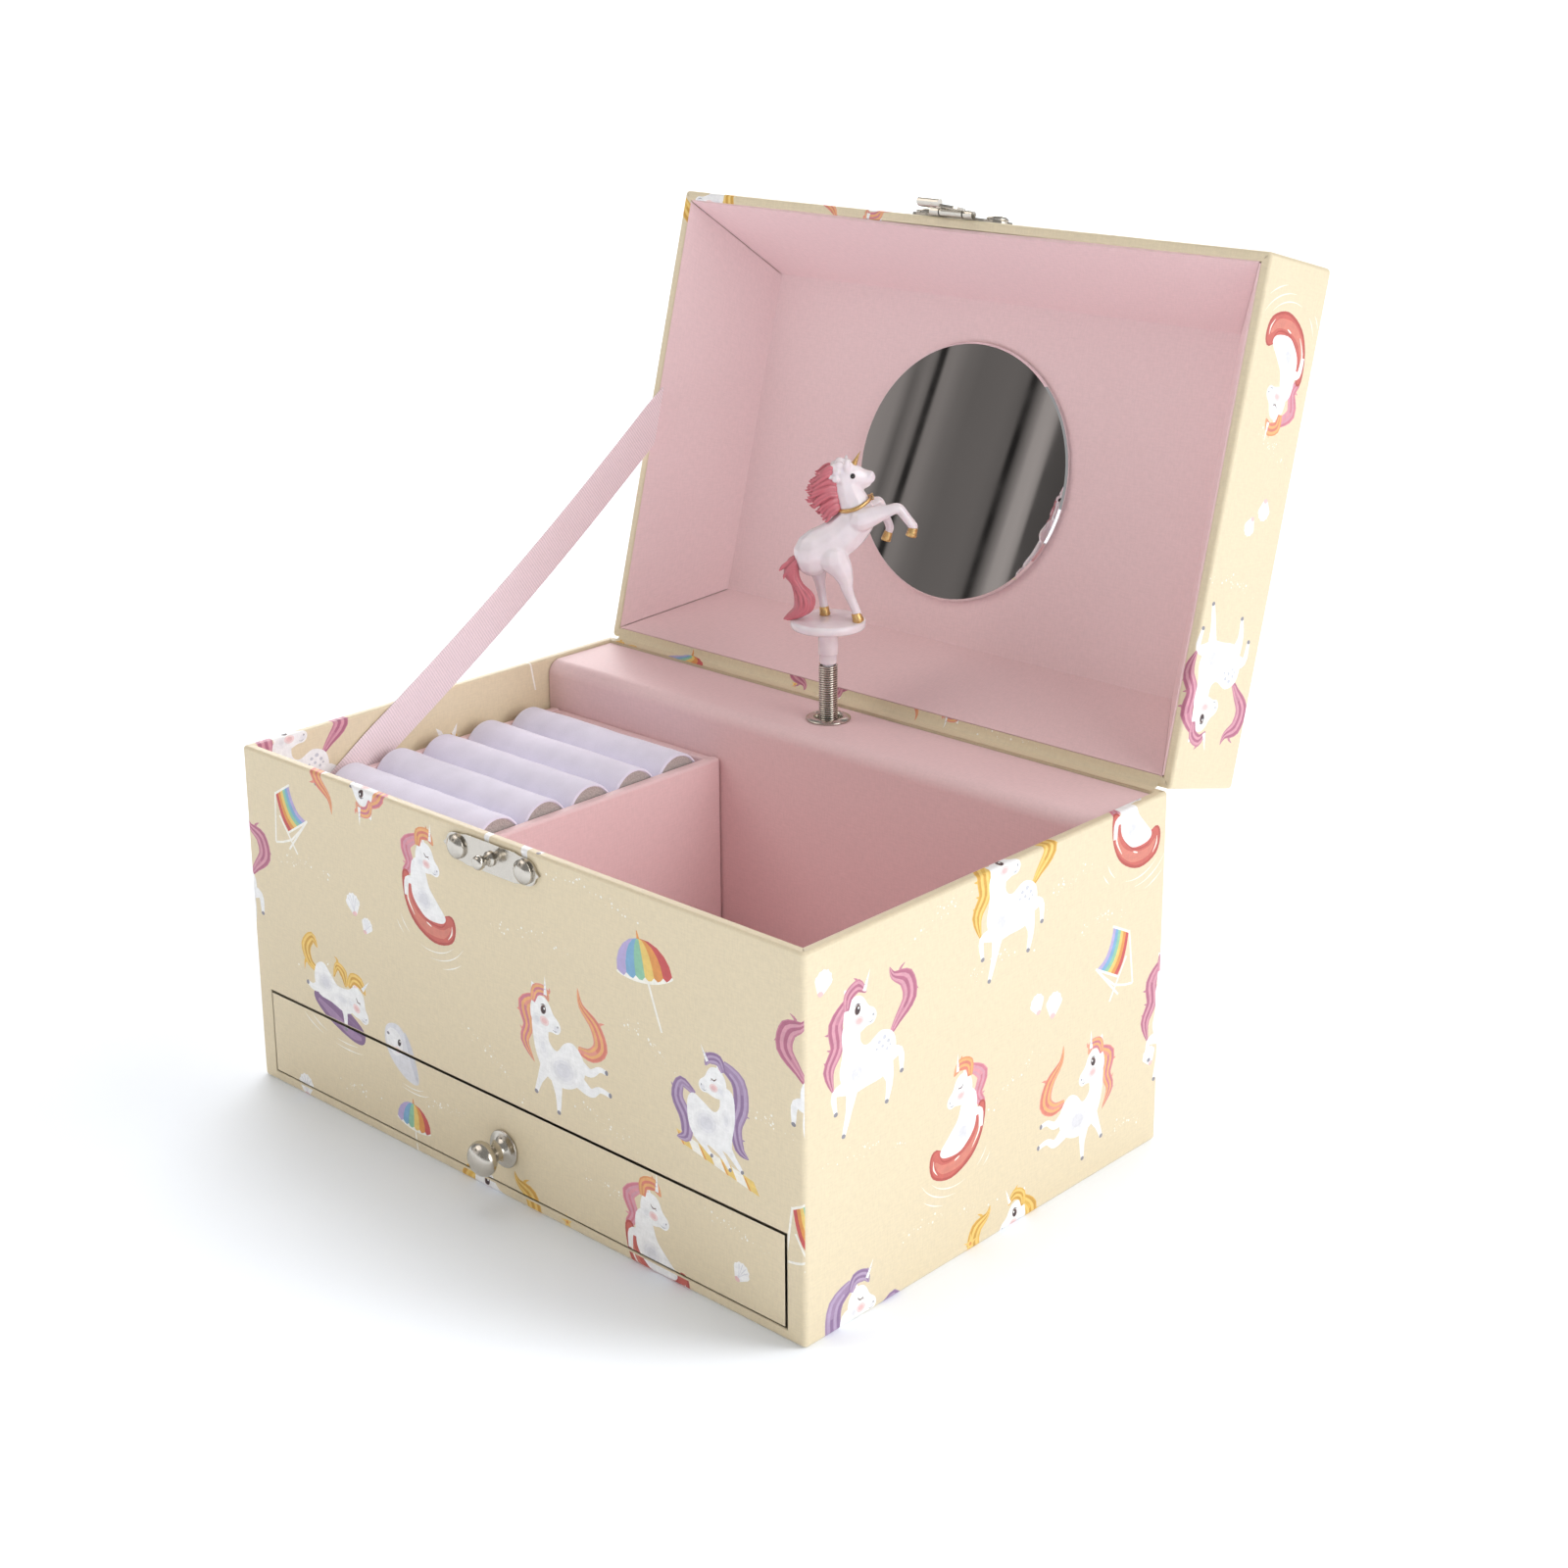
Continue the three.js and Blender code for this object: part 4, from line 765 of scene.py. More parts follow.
def parasol():
    made = [("foam", stroke([(0.4, 2.0), (1.4, -4.2), (2.6, -10.6)], [0.6, 0.6, 0.5], 3))]
    edge = lambda k: -8.2 + 16.4 * k / 6
    skirt = lambda x: 0.9 + 0.014 * x * x
    made.append(("foam", blob((-8.5, 1.4), (-4.4, -0.1), (0.0, -0.5), (4.4, -0.1), (8.5, 1.4), (4.0, 2.6),
                (-4.0, 2.6))))
    for i, tone in enumerate(STRIPES):
        a, b = edge(i), edge(i + 1)
        line = []
        for k in range(6):
            t = k / 5
            line.append((-0.4 + (a + 0.4) * math.sin(t * math.pi / 2) ** 0.9,
                    9.2 - (9.2 - skirt(a)) * (1 - math.cos(t * math.pi / 2)) ** 0.92))
        other = []
        for k in range(6):
            t = k / 5
            other.append((-0.4 + (b + 0.4) * math.sin(t * math.pi / 2) ** 0.9,
                    9.2 - (9.2 - skirt(b)) * (1 - math.cos(t * math.pi / 2)) ** 0.92))
        made.append((tone, line + [((a * 2 + b) / 3, skirt(a) - 0.75), ((a + 2 * b) / 3, skirt(b) - 0.75)]
                + other[:0:-1]))
    made.append(("amber", stroke([(-0.4, 9.0), (-0.5, 10.8)], [0.9, 0.2], 3)))
    return made


def deck_chair():
    left = [(-1.4, 8.8), (-2.4, 5.2), (-4.4, 2.0), (-7.6, 0.2)]
    right = [(4.6, 5.6), (3.9, 2.2), (2.6, -1.2), (0.6, -3.9)]
    made = [("foam", stroke(line, [0.6, 0.6], 2)) for line in ([(-7.8, 0.4), (1.2, -8.8)],
            [(4.0, 0.0), (-2.2, -9.6)], [(4.9, 6.2), (6.9, -7.8)], [(-7.4, 0.0), (-0.2, -6.0), (6.9, -7.8)])]
    for i, tone in enumerate(STRIPES):
        a, b = i / 6, (i + 1) / 6
        one = [(p[0] + (q[0] - p[0]) * a, p[1] + (q[1] - p[1]) * a) for p, q in zip(left, right)]
        two = [(p[0] + (q[0] - p[0]) * b, p[1] + (q[1] - p[1]) * b) for p, q in zip(left, right)]
        made.append((tone, [tuple(p) for p in spline(one, 3, False)]
                + [tuple(p) for p in spline(two, 3, False)][::-1]))
    made += [("foam", stroke([(-1.7, 9.2), (5.0, 5.8)], [0.6, 0.6], 2)),
        ("foam", stroke([(-8.0, 0.5), (0.9, -4.2)], [0.6, 0.6], 2))]
    return made


def shell():
    fan = [(-0.7, -2.5), (0.7, -2.5)]
    fan += [((2.3 + 0.22 * (i % 2)) * math.sin(math.radians(a)),
            -0.5 + (2.6 + 0.24 * (i % 2)) * math.cos(math.radians(a))) for i,
        a in enumerate(range(84, -90, -14))]
    made = [("white", fan), ("cheek", blob((-0.8, -2.3), (0.0, -2.9), (0.8, -2.3), (0.0, -1.7)))]
    for a in (-44, -16, 16, 44):
        tip = (2.0 * math.sin(math.radians(a)), -0.5 + 2.3 * math.cos(math.radians(a)))
        made.append(("s3", stroke([(0, -2.0), (tip[0] * 0.5, -0.6 + tip[1] * 0.45), tip], [0.08, 0.2, 0.3],
                    3)))
    return made


def starfish():
    points = []
    for i in range(10):
        r = 2.6 if i % 2 == 0 else 0.95
        points.append((r * math.sin(math.pi * i / 5), r * math.cos(math.pi * i / 5)))
    return [("gold2", blob(*points)), ("amber", ellipse(0, 0, 0.5, 0.5, 0, 8))]


def sparkles(seed, length=24, width=5, count=26):
    """A drift of tiny dots along a bow, thickest in its middle."""
    rng = random.Random(seed)
    made = []
    for _ in range(count):
        t = max(-0.5, min(0.5, rng.gauss(0, 0.24)))
        x = t * length
        y = 0.22 * length * (0.25 - t * t) + rng.gauss(0, width / 6)
        made.append(("foam", ellipse(x, y, *(rng.choice((0.1, 0.12, 0.14, 0.2, 0.3)),) * 2,
                    rng.uniform(0, 60), 5)))
    return made


MOTIFS = {"run_orange": running(("coral2", "orange2", "rose"), CORAL), "run_pink": trotting(PINKS, PINKS),
    "run_gold": trotting(GOLDS, GOLDS), "swim": swimming(ORANGE, ROSE), "rest": resting(LILACS, LILACS),
    "float": floating(GOLDS, GOLDS), "parasol": parasol(), "chair": deck_chair(), "shell": shell(),
    "star": starfish(), "seal": seal(), "tuft": tuft()}


def placed(layout, low=-1e9, high=1e9):
    """(tone, polygon, lowest u, highest u) of each shape in a layout.

    A layout lists (motif, u, v, turn, scale, mirrored)."""
    made = []
    for name, u, v, turn, scale, mirrored in layout:
        parts = sparkles(*name[1:]) if isinstance(name, tuple) else MOTIFS[name]
        made += [(tone, shape, low, high) for tone, shape in put(parts, u, v, turn, scale, mirrored)]
    return made


def within(polygon, places):
    """Which of the places lie in the polygon, by how often it winds round them."""
    a = np.array([p[:2] for p in polygon])
    found = np.zeros(len(places), bool)
    near = np.flatnonzero(np.all((places > a.min(0)) & (places < a.max(0)), axis=1))
    if len(near):
        x, y = places[near, 0][:, None], places[near, 1][:, None]
        b = np.roll(a, -1, axis=0)
        side = (b[:, 0] - a[:, 0]) * (y - a[:, 1]) - (x - a[:, 0]) * (b[:, 1] - a[:, 1])
        up = (a[:, 1] <= y) & (b[:, 1] > y) & (side > 0)
        down = (a[:, 1] > y) & (b[:, 1] <= y) & (side < 0)
        found[near] = up.sum(1) != down.sum(1)
    return found


def triangulate(outline, lines, shapes, holes=()):
    """Cuts a flat sheet into triangles along lines and every shape's edge.

    Returns the points, the triangles and the tone on top of each triangle."""
    low = [min(p[k] for p in outline) for k in (0, 1)]
    high = [max(p[k] for p in outline) for k in (0, 1)]
    kept = [
        shape for shape in shapes
        if all(max(p[k] for p in shape[1]) > low[k] and min(p[k] for p in shape[1]) < high[k] for k in (0, 1))
        and max(p[0] for p in shape[1]) > shape[2] and min(p[0] for p in shape[1]) < shape[3]
    ]
    points, edges = [], []
    for polygon in [outline, *holes] + [shape[1] for shape in kept]:
        start, count = len(points), len(polygon)
        points += [Vector(p[:2]) for p in polygon]
        edges += [(start + i, start + (i + 1) % count) for i in range(count)]
    for a, b in lines:
        edges.append((len(points), len(points) + 1))
        points += [Vector(a), Vector(b)]
    out, _, triangles, *_ = geometry.delaunay_2d_cdt(points, edges, [], 0, 1e-5, False)
    places = np.array([tuple(p) for p in out])
    triangles = np.array(triangles)
    middles = places[triangles].mean(axis=1)
    use = within(outline, middles)
    for hole in holes:
        use &= ~within(hole, middles)
    top = np.zeros(len(triangles), int)
    for index, (_, polygon, first, last) in enumerate(kept):
        top[within(polygon, middles) & (middles[:, 0] > first) & (middles[:, 0] < last)] = index + 1
    used = np.unique(triangles[use])
    index = np.zeros(len(places), int)
    index[used] = np.arange(len(used))
    tones = [kept[t - 1][0] if t else None for t in top[use]]
    return places[used].tolist(), index[triangles[use]].tolist(), tones


def ink_faces(mesh, tones):
    """Stores each face's ink colour, with alpha 1 where there is ink."""
    layer = mesh.color_attributes.new(name="Ink", type="FLOAT_COLOR", domain="CORNER")
    values = []
    for polygon, tone in zip(mesh.polygons, tones):
        colour = (*INK[tone], 1.0) if tone else (*CREAM, 0.0)
        values += list(colour) * polygon.loop_total
    layer.data.foreach_set("color", values)


# ---------- paper wrapped round a box: u runs round it from the middle of the front, v up and over ----------
class Wrap:
    """Paper round a box. v follows the corners (inset, height), each rounded by its own radius."""

    def __init__(self, corners, radii, corner_radius, first_v):
        self.corners, self.radii, self.rc = [Vector(c) for c in corners], radii, corner_radius
        self.marks = [first_v]
        for a, b in zip(self.corners, self.corners[1:]):
            self.marks.append(self.marks[-1] + (b - a).length)

    def profile(self, v):
        """(inset, height, outward part of the normal, upward part) at v."""
        for i in range(1, len(self.corners) - 1):
            r = self.radii[i]
            if abs(v - self.marks[i]) < r:
                before = (self.corners[i] - self.corners[i - 1]).normalized()
                after = (self.corners[i + 1] - self.corners[i]).normalized()
                t = (v - self.marks[i] + r) / (2 * r) * math.pi / 2
                centre = self.corners[i] - before * r + after * r
                place = centre - after * r * math.cos(t) + before * r * math.sin(t)
                normal = -after * math.cos(t) + before * math.sin(t)
                return place.x, place.y, -normal.x, normal.y
        i = max(k for k in range(len(self.marks) - 1) if v >= self.marks[k] - 1e-9 or k == 0)
        along = (self.corners[i + 1] - self.corners[i]).normalized()
        place = self.corners[i] + along * (v - self.marks[i])
        # The outside is on the left of the path when it climbs the outer face.
        normal = Vector((-along.y, along.x))
        return place.x, place.y, -normal.x, normal.y

    def around(self, u, inset):
        """(x, y, outward direction) at u, moved inwards by inset."""
        rc = self.rc
        for k, corner in enumerate((-210.0, -90.0, 90.0, 210.0)):
            if abs(u - corner) < rc:
                sx, sy = ((-1, 1), (-1, -1), (1, -1), (1, 1))[k]
                t = (u - corner + rc) / (2 * rc)
                angle = math.radians({0: 90 + 90 * t, 1: 180 + 90 * t, 2: 270 + 90 * t, 3: 90 * t}[k])
                d = Vector((math.cos(angle), math.sin(angle)))
                reach = max(rc - inset, 0)
                grow = max(inset - rc, 0)
                centre = Vector((sx * (HALF_X - rc - grow), sy * (HALF_Y - rc - grow)))
                p = centre + d * reach
                return p.x, p.y, d
        if -90 <= u <= 90:
            limit = HALF_X - max(inset, rc)
            return min(max(u, -limit), limit), -HALF_Y + inset, Vector((0, -1))
        limit = HALF_Y - max(inset, rc)
        if 90 < u < 210:
            return HALF_X - inset, min(max(u - 150, -limit), limit), Vector((1, 0))
        if -210 < u < -90:
            return -HALF_X + inset, min(max(-150 - u, -limit), limit), Vector((-1, 0))
        limit = HALF_X - max(inset, rc)
        x = 300 - u if u > 0 else -300 - u
        return min(max(x, -limit), limit), HALF_Y - inset, Vector((0, 1))

    def point(self, u, v):
        inset, height, out, up = self.profile(v)
        x, y, d = self.around(u, inset)
        return (x, y, height), (d.x * out, d.y * out, up)

    def lines(self):
        low, high = self.marks[0], self.marks[-1]
        made = []
        for corner in (-210.0, -90.0, 90.0, 210.0):
            for k in range(-4, 5):
                u = corner + self.rc * k / 4
                made.append(((u, low), (u, high)))
        for i in range(1, len(self.corners) - 1):
            for k in range(-4, 5):
                v = self.marks[i] + self.radii[i] * k / 4
                made.append(((-300, v), (300, v)))
        # Where the sheet is deeper inside than its corner's radius, the corner is a mitre.
        for corner in (-210.0, -90.0, 90.0, 210.0):
            for side in (-1, 1):
                for (a, b, va, vb) in zip(self.corners, self.corners[1:], self.marks, self.marks[1:]):
                    if max(a.x, b.x) > self.rc + 1e-6:
                        ends = []
                        for t in (0.0, 1.0):
                            p = a.lerp(b, t)
                            if p.x < self.rc:
                                t = (self.rc - a.x) / (b.x - a.x)
                                p = a.lerp(b, t)
                            ends.append((corner + side * p.x, va + (vb - va) * t))
                        made.append(tuple(ends))
        return made

    def make(self, name, shapes, body, slot, replaces, place=HERE, holes=(), offset=(0, 0, 0)):
        low, high = self.marks[0], self.marks[-1]
        outline = [(-300, low), (300, low), (300, high), (-300, high)]
        flat, kept, tones = triangulate(outline, self.lines(), shapes, holes)
        points, normals = [], []
        for u, v in flat:
            p, n = self.point(u, v)
            points.append(tuple(Vector(p) + Vector(offset)))
            normals.append(n)
        # Triangles that a mitre flattens to nothing are left out.
        solid = []
        for t, tone in zip(kept, tones):
            a, b, c = (Vector(points[i]) for i in t)
            if (b - a).cross(c - a).length > 1e-7:
                solid.append((t, tone))
        used = sorted({i for t, _ in solid for i in t})
        index = {old: new for new, old in enumerate(used)}
        made = build(
            name, [points[i] for i in used], [[index[i] for i in t] for t, _ in solid], body, PAPER, slot,
            replaces, place, [normals[i] for i in used], [flat[i] for i in used],
        )
        ink_faces(made.data, [tone for _, tone in solid])
        return made


def panel(name, outline, layout, to_space, normal, body, slot, replaces=(), place=HERE):
    """A flat printed sheet. to_space turns (u, v) into a point."""
    flat, triangles, tones = triangulate(outline, [], placed(layout))
    points = [to_space(u, v) for u, v in flat]
    a, b, c = (Vector(points[i]) for i in triangles[0])
    if (b - a).cross(c - a).dot(Vector(normal)) < 0:
        triangles = [t[::-1] for t in triangles]
    made = build(name, points, triangles, body, PAPER, slot, replaces, place, [normal] * len(points), flat)
    ink_faces(made.data, tones)
    return made


def frame_edge(loop, steps, inward, depth_axis, name, body, material, slot, radius, depth, place=HERE,
        tone=None):
    """Paper turned in round an opening. loop is the outline where the rounded edge starts."""
    points, normals = [], []
    rings = [(radius * math.sin(t), radius * (1 - math.cos(t)), t) for t in
             (math.pi / 2 * k / steps for k in range(steps + 1))]
    rings.append((radius, depth, math.pi / 2))
    for shift, down, t in rings:
        for i, p in enumerate(loop):
            p = Vector(p)
            d = Vector(inward[i])
            points.append(tuple(p + d * shift + Vector(depth_axis) * down))
            normals.append(tuple(-Vector(depth_axis) * math.cos(t) + d.normalized() * math.sin(t)))
    faces = quads(len(rings), len(loop))
    flat = [(p[0] + p[1], p[2]) for p in points]
    made = build(name, points, faces, body, material, slot, (), place, normals, flat)
    if material is PAPER:
        ink_faces(made.data, [tone] * len(faces))
    return made


# ---------- the print's layout, in millimetres ----------
def spark(seed, length=24, width=5, count=26):
    return ("sparkles", seed, length, width, count)


FRONT = [(spark(1, 30), 32, 80, -8, 1, False), (spark(2, 26), 10, 65, 4, 1, False),
    (spark(3, 26), -4, 33, -28, 1, False), (spark(4, 24), 46, 52, -22, 1, False),
    (spark(5, 34), 33, 28, -14, 1, False), (spark(6, 20), -52, 8, 0, 1, False),
    (spark(7, 20), 36, 13, -12, 1, False), (spark(8, 20), -68, 60, 0, 1, False),
    (spark(9, 22), -62, 36, 8, 1, False), (spark(10, 18), 78, 46, 0, 1, False),
    (spark(11, 22), 72, 18, -10, 1, False), (spark(12, 20), -20, 14, 6, 1, False),
    ("chair", -73, 71.5, 4, 0.9, True), ("shell", -50.2, 56.5, 12, 1.1, False),
    ("shell", -45.4, 52.2, -24, 0.85, False), ("swim", -22.6, 68.4, 0, 0.93, False),
    ("float", -57.5, 32, -4, 1.0, False), ("run_orange", 20, 43, 2, 1.0, False),
    ("parasol", 46.4, 66.5, 10, 1.0, False), ("rest", 65, 44.5, 0, 0.84, False),
    ("run_gold", -54, 99, 0, 1.0, False), ("run_gold", 4, 97, 0, 1.0, True),
    ("run_pink", 97, 57, 0, 1.0, True), ("seal", -35, 25, -8, 1.0, False), ("shell", -73, 3, 0, 1.2, False),
    ("parasol", -32, 5.4, -4, 0.72, False), ("run_gold", -3, -8, 0, 1.0, False),
    ("star", 20, 1.5, 10, 0.8, False), ("swim", 47.5, 8.2, 4, 0.96, False),
    ("shell", 72.4, 10.4, -30, 1.0, False), ("run_pink", -96, 52, 0, 1.0, False),
    ("chair", 91, 25, 0, 0.9, True)]
RIGHT = [(spark(21, 30), -3, 63, 0, 1, False), (spark(22, 34), -15, 10, -8, 1, False),
    (spark(23, 16), 37, 62, 0, 1, False), (spark(24, 26), -42, 36, -10, 1, False),
    (spark(25, 22), 6, 34, 24, 1, False), (spark(26, 20), 46, 8, 0, 1, False),
    (spark(27, 20), 24, 74, 10, 1, False), (spark(28, 22), -20, 80, 14, 1, False),
    ("shell", -54.5, 78, -20, 1.1, False), ("run_pink", -41, 59, 0, 1.0, False),
    ("run_gold", 4.5, 77, 0, 1.0, False), ("swim", 48, 84, 0, 0.95, False),
    ("chair", 42, 50.5, 0, 0.95, False), ("shell", 13.5, 50, 14, 1.0, False),
    ("shell", 19.5, 48, -8, 1.2, False), ("swim", -12.4, 33, -4, 0.92, True),
    ("run_orange", 29.5, 21.5, 0, 0.98, True), ("shell", 56, 22.6, 20, 1.0, False),
    ("run_gold", 4, -6, 0, 0.9, True), ("rest", -43, -3, 0, 0.94, True), ("star", -8, 1.6, 0, 0.9, False),
    ("run_pink", 66, 32, 0, 1.0, False), ("parasol", 14, 100, 0, 1.0, False)]
TILE = [("run_orange", -60, 24, 0, 1.0, False), ("swim", -24, 50, 0, 1.0, True),
    ("parasol", -44, 66, 6, 1.0, False), ("rest", 10, 18, 0, 0.94, False), ("chair", -80, 62, 0, 0.95, False),
    ("shell", -32, 16, 20, 1.1, False), ("shell", -27, 12, -20, 0.9, False),
    ("run_pink", 22, 62, 0, 1.0, False), ("float", 58, 40, 0, 1.0, False), ("run_gold", 84, 14, 0, 1.0, True),
    ("star", 42, 12, 0, 1.0, False), ("parasol", 52, 72, -6, 1.0, False), ("swim", 82, 66, 0, 1.0, False),
    ("shell", -6, 80, 0, 1.0, False), ("star", -62, 82, 16, 0.9, False), ("run_gold", -2, -12, 0, 1.0, False),
    ("chair", 36, -4, 0, 0.95, True), ("run_pink", -84, -10, 0, 1.0, True),
    (spark(31, 30), -44, 42, 10, 1, False), (spark(32, 26), 0, 40, -10, 1, False),
    (spark(33, 26), 36, 32, 20, 1, False), (spark(34, 30), 68, 54, -8, 1, False),
    (spark(35, 26), -70, 4, 0, 1, False), (spark(36, 26), 60, 4, 0, 1, False)]


def moved(layout, du, dv=0.0):
    return [(m, u + du, v + dv, turn, scale, flip) for m, u, v, turn, scale, flip in layout]


# ---------- case ----------
DRAWER_OPENING = (85.0, 2.5, 24.0)  # half width, floor and ceiling
KEY = (-7.4, 42.0, 3.0)  # the key hole's place across and up, and its radius


def make_case():
    r_edge, r_rim, r_inner = 0.9, 0.8, 0.6
    corners = [(8, 0), (0, 0), (0, HEIGHT), (BOARD, HEIGHT), (BOARD, SHELF_TOP)]
    wrap = Wrap(corners, [0, r_edge, r_rim, r_inner, 0], 1.1, -8)
    rim_v = wrap.marks[3]  # where the inner face starts
    half, low, high = DRAWER_OPENING
    edge = 0.35
    opening = [(-half - edge, low - edge), (half + edge, low - edge), (half + edge, high + edge),
        (-half - edge, high + edge)]
    u_key = -300 - KEY[0]
    sides = 24
    turns = [2 * math.pi * k / sides for k in range(sides)]
    ring = [(u_key + KEY[2] * math.cos(a), KEY[1] + KEY[2] * math.sin(a)) for a in turns]
    ring_in = [(u, rim_v + HEIGHT - v) for u, v in ring]
    inner = [
        ("run_pink", -105, rim_v + 8, 180, 1.0, False), ("tuft", -150, rim_v + 14, 0, 1.0, False),
        ("parasol", -178, rim_v - 2, 180, 0.9, False), ("swim", -72, rim_v + 16, 180, 1.0, False),
        ("run_orange", -50, rim_v + 4, 180, 1.0, False), ("shell", -130, rim_v + 6, 0, 1.0, False),
    ]
    shapes = (
        placed(FRONT, -90, 90) + placed(moved(RIGHT, 150), 90, 210)
        + placed(moved([m for m in TILE if abs(m[1]) < 66], -150), -210, -90)
        + placed(moved([m for m in TILE if m[1] <= 12], 300), 210, 300)
        + placed(moved([m for m in TILE if m[1] > -12], -300), -300, -210) + placed(inner)
    )
    wrap.make(
        "case_paper", shapes, "case", "printed_paper",
        ["left_wall", "right_wall", "back_wall", "front_panel"], holes=[opening, ring, ring_in],
    )
    loop = [(x, -HALF_Y, z) for x, z in opening]
    inward = [(1, 0, 1), (-1, 0, 1), (-1, 0, -1), (1, 0, -1)]
    frame_edge(loop, 4, inward, (0, 1, 0), "drawer_opening_edge", "case", PAPER, "printed_paper", edge, BOARD)
    points = [(-300 - u, y, v) for y in (HALF_Y, HALF_Y - BOARD) for u, v in ring]
    made = build("key_hole_edge", points, quads(2, sides), "case", PAPER, "printed_paper", crease=40,
                 flat=[(p[0], p[2]) for p in points])
    ink_faces(made.data, [None] * sides)

    paper_boxes("base_inside", [((-89, -59.2, 0.12), (89, 59.2, 2.46))], 0.3, "case", ["base_board"])
    paper_boxes("bay_sides", [
        ((-87.5, -57.4, 2.46), (-85.0, 57.2, 24.5)), ((85.0, -57.4, 2.46), (87.5, 57.2, 24.5)),
    ], 0.25, "case", ["left_drawer_rail", "right_drawer_rail"])
    paper_boxes("bay_back", [((-87, 57.25, 2.46), (87, 59, 24.6))], 0.25, "case")
    paper_boxes("shelf", [((-87.5, -57.45, 24.5), (87.5, 57.45, 27.0))], 0.25, "case", ["shelf_board"])


def paper_boxes(name, corners, radius, body, replaces=(), place=HERE):
    made = boxes(name, corners, radius, body, PAPER, "printed_paper", replaces, place)
    ink_faces(made.data, [None] * len(made.data.polygons))
    return made


def make_drawer():
    half, low, high = 84.85, 2.66, 23.84
    r = 0.35
    front_y, back_y = -60.0, -57.5
    outline = [(-half + r, low + r), (half - r, low + r), (half - r, high - r), (-half + r, high - r)]
    panel("drawer_front_print", outline, FRONT, lambda u, v: (u, front_y, v), (0, -1, 0), "drawer",
        "printed_paper", ["drawer_front"])
    loop = [(u, front_y, v) for u, v in outline]
    outward = [(-1, 0, -1), (1, 0, -1), (1, 0, 1), (-1, 0, 1)]
    frame_edge(loop, 4, outward, (0, 1, 0), "drawer_front_edge", "drawer", PAPER, "printed_paper", r, 2.4)
    paper_boxes("drawer_front_back",
        [((-half + 0.02, -57.8, low + 0.02), (half - 0.02, back_y, high - 0.02))], 0.2, "drawer")
    half, board, back = 84.5, 2, 55
    inner = half - board
    boxes("drawer_tray", [((-half, back_y, 3.0), (half, back, 4.6)),
            ((-half, back_y, 4.6), (-inner, back, 22)), ((inner, back_y, 4.6), (half, back, 22)),
            ((-inner, back - board, 4.6), (inner, back, 22))], 0.5, "drawer", PINK, "pink_paper",
        ["drawer_floor", "drawer_left_side", "drawer_right_side", "drawer_back"])
    boxes("drawer_lining", [((-inner + 0.3, -53.5, 4.62), (inner - 0.3, 52.7, 5.6))], 0.4, "drawer", PINK,
          "pink_paper", ["drawer_pad"])
    knob = ([(0, 0.12), (4.2, 0.12)] + arc(4.2, 0.4, 0.25, -90, 90, 5) + [(3.2, 0.95), (2.7, 1.25)]
        + [(2.1, 1.9), (1.95, 2.6), (2.0, 3.8), (2.3, 4.5), (3.0, 4.95), (3.6, 5.3)]
        + [(3.95, 5.8), (4.1, 6.3), (4.04, 6.9), (3.75, 7.6), (3.25, 8.15), (2.5, 8.6), (1.5, 8.88),
            (0.7, 8.98), (0, 9.0)])
    turned("knob", knob, "drawer", NICKEL, "nickel", ["drawer_knob"], "-Y", (0, -HALF_Y, 12.1), sides=64)


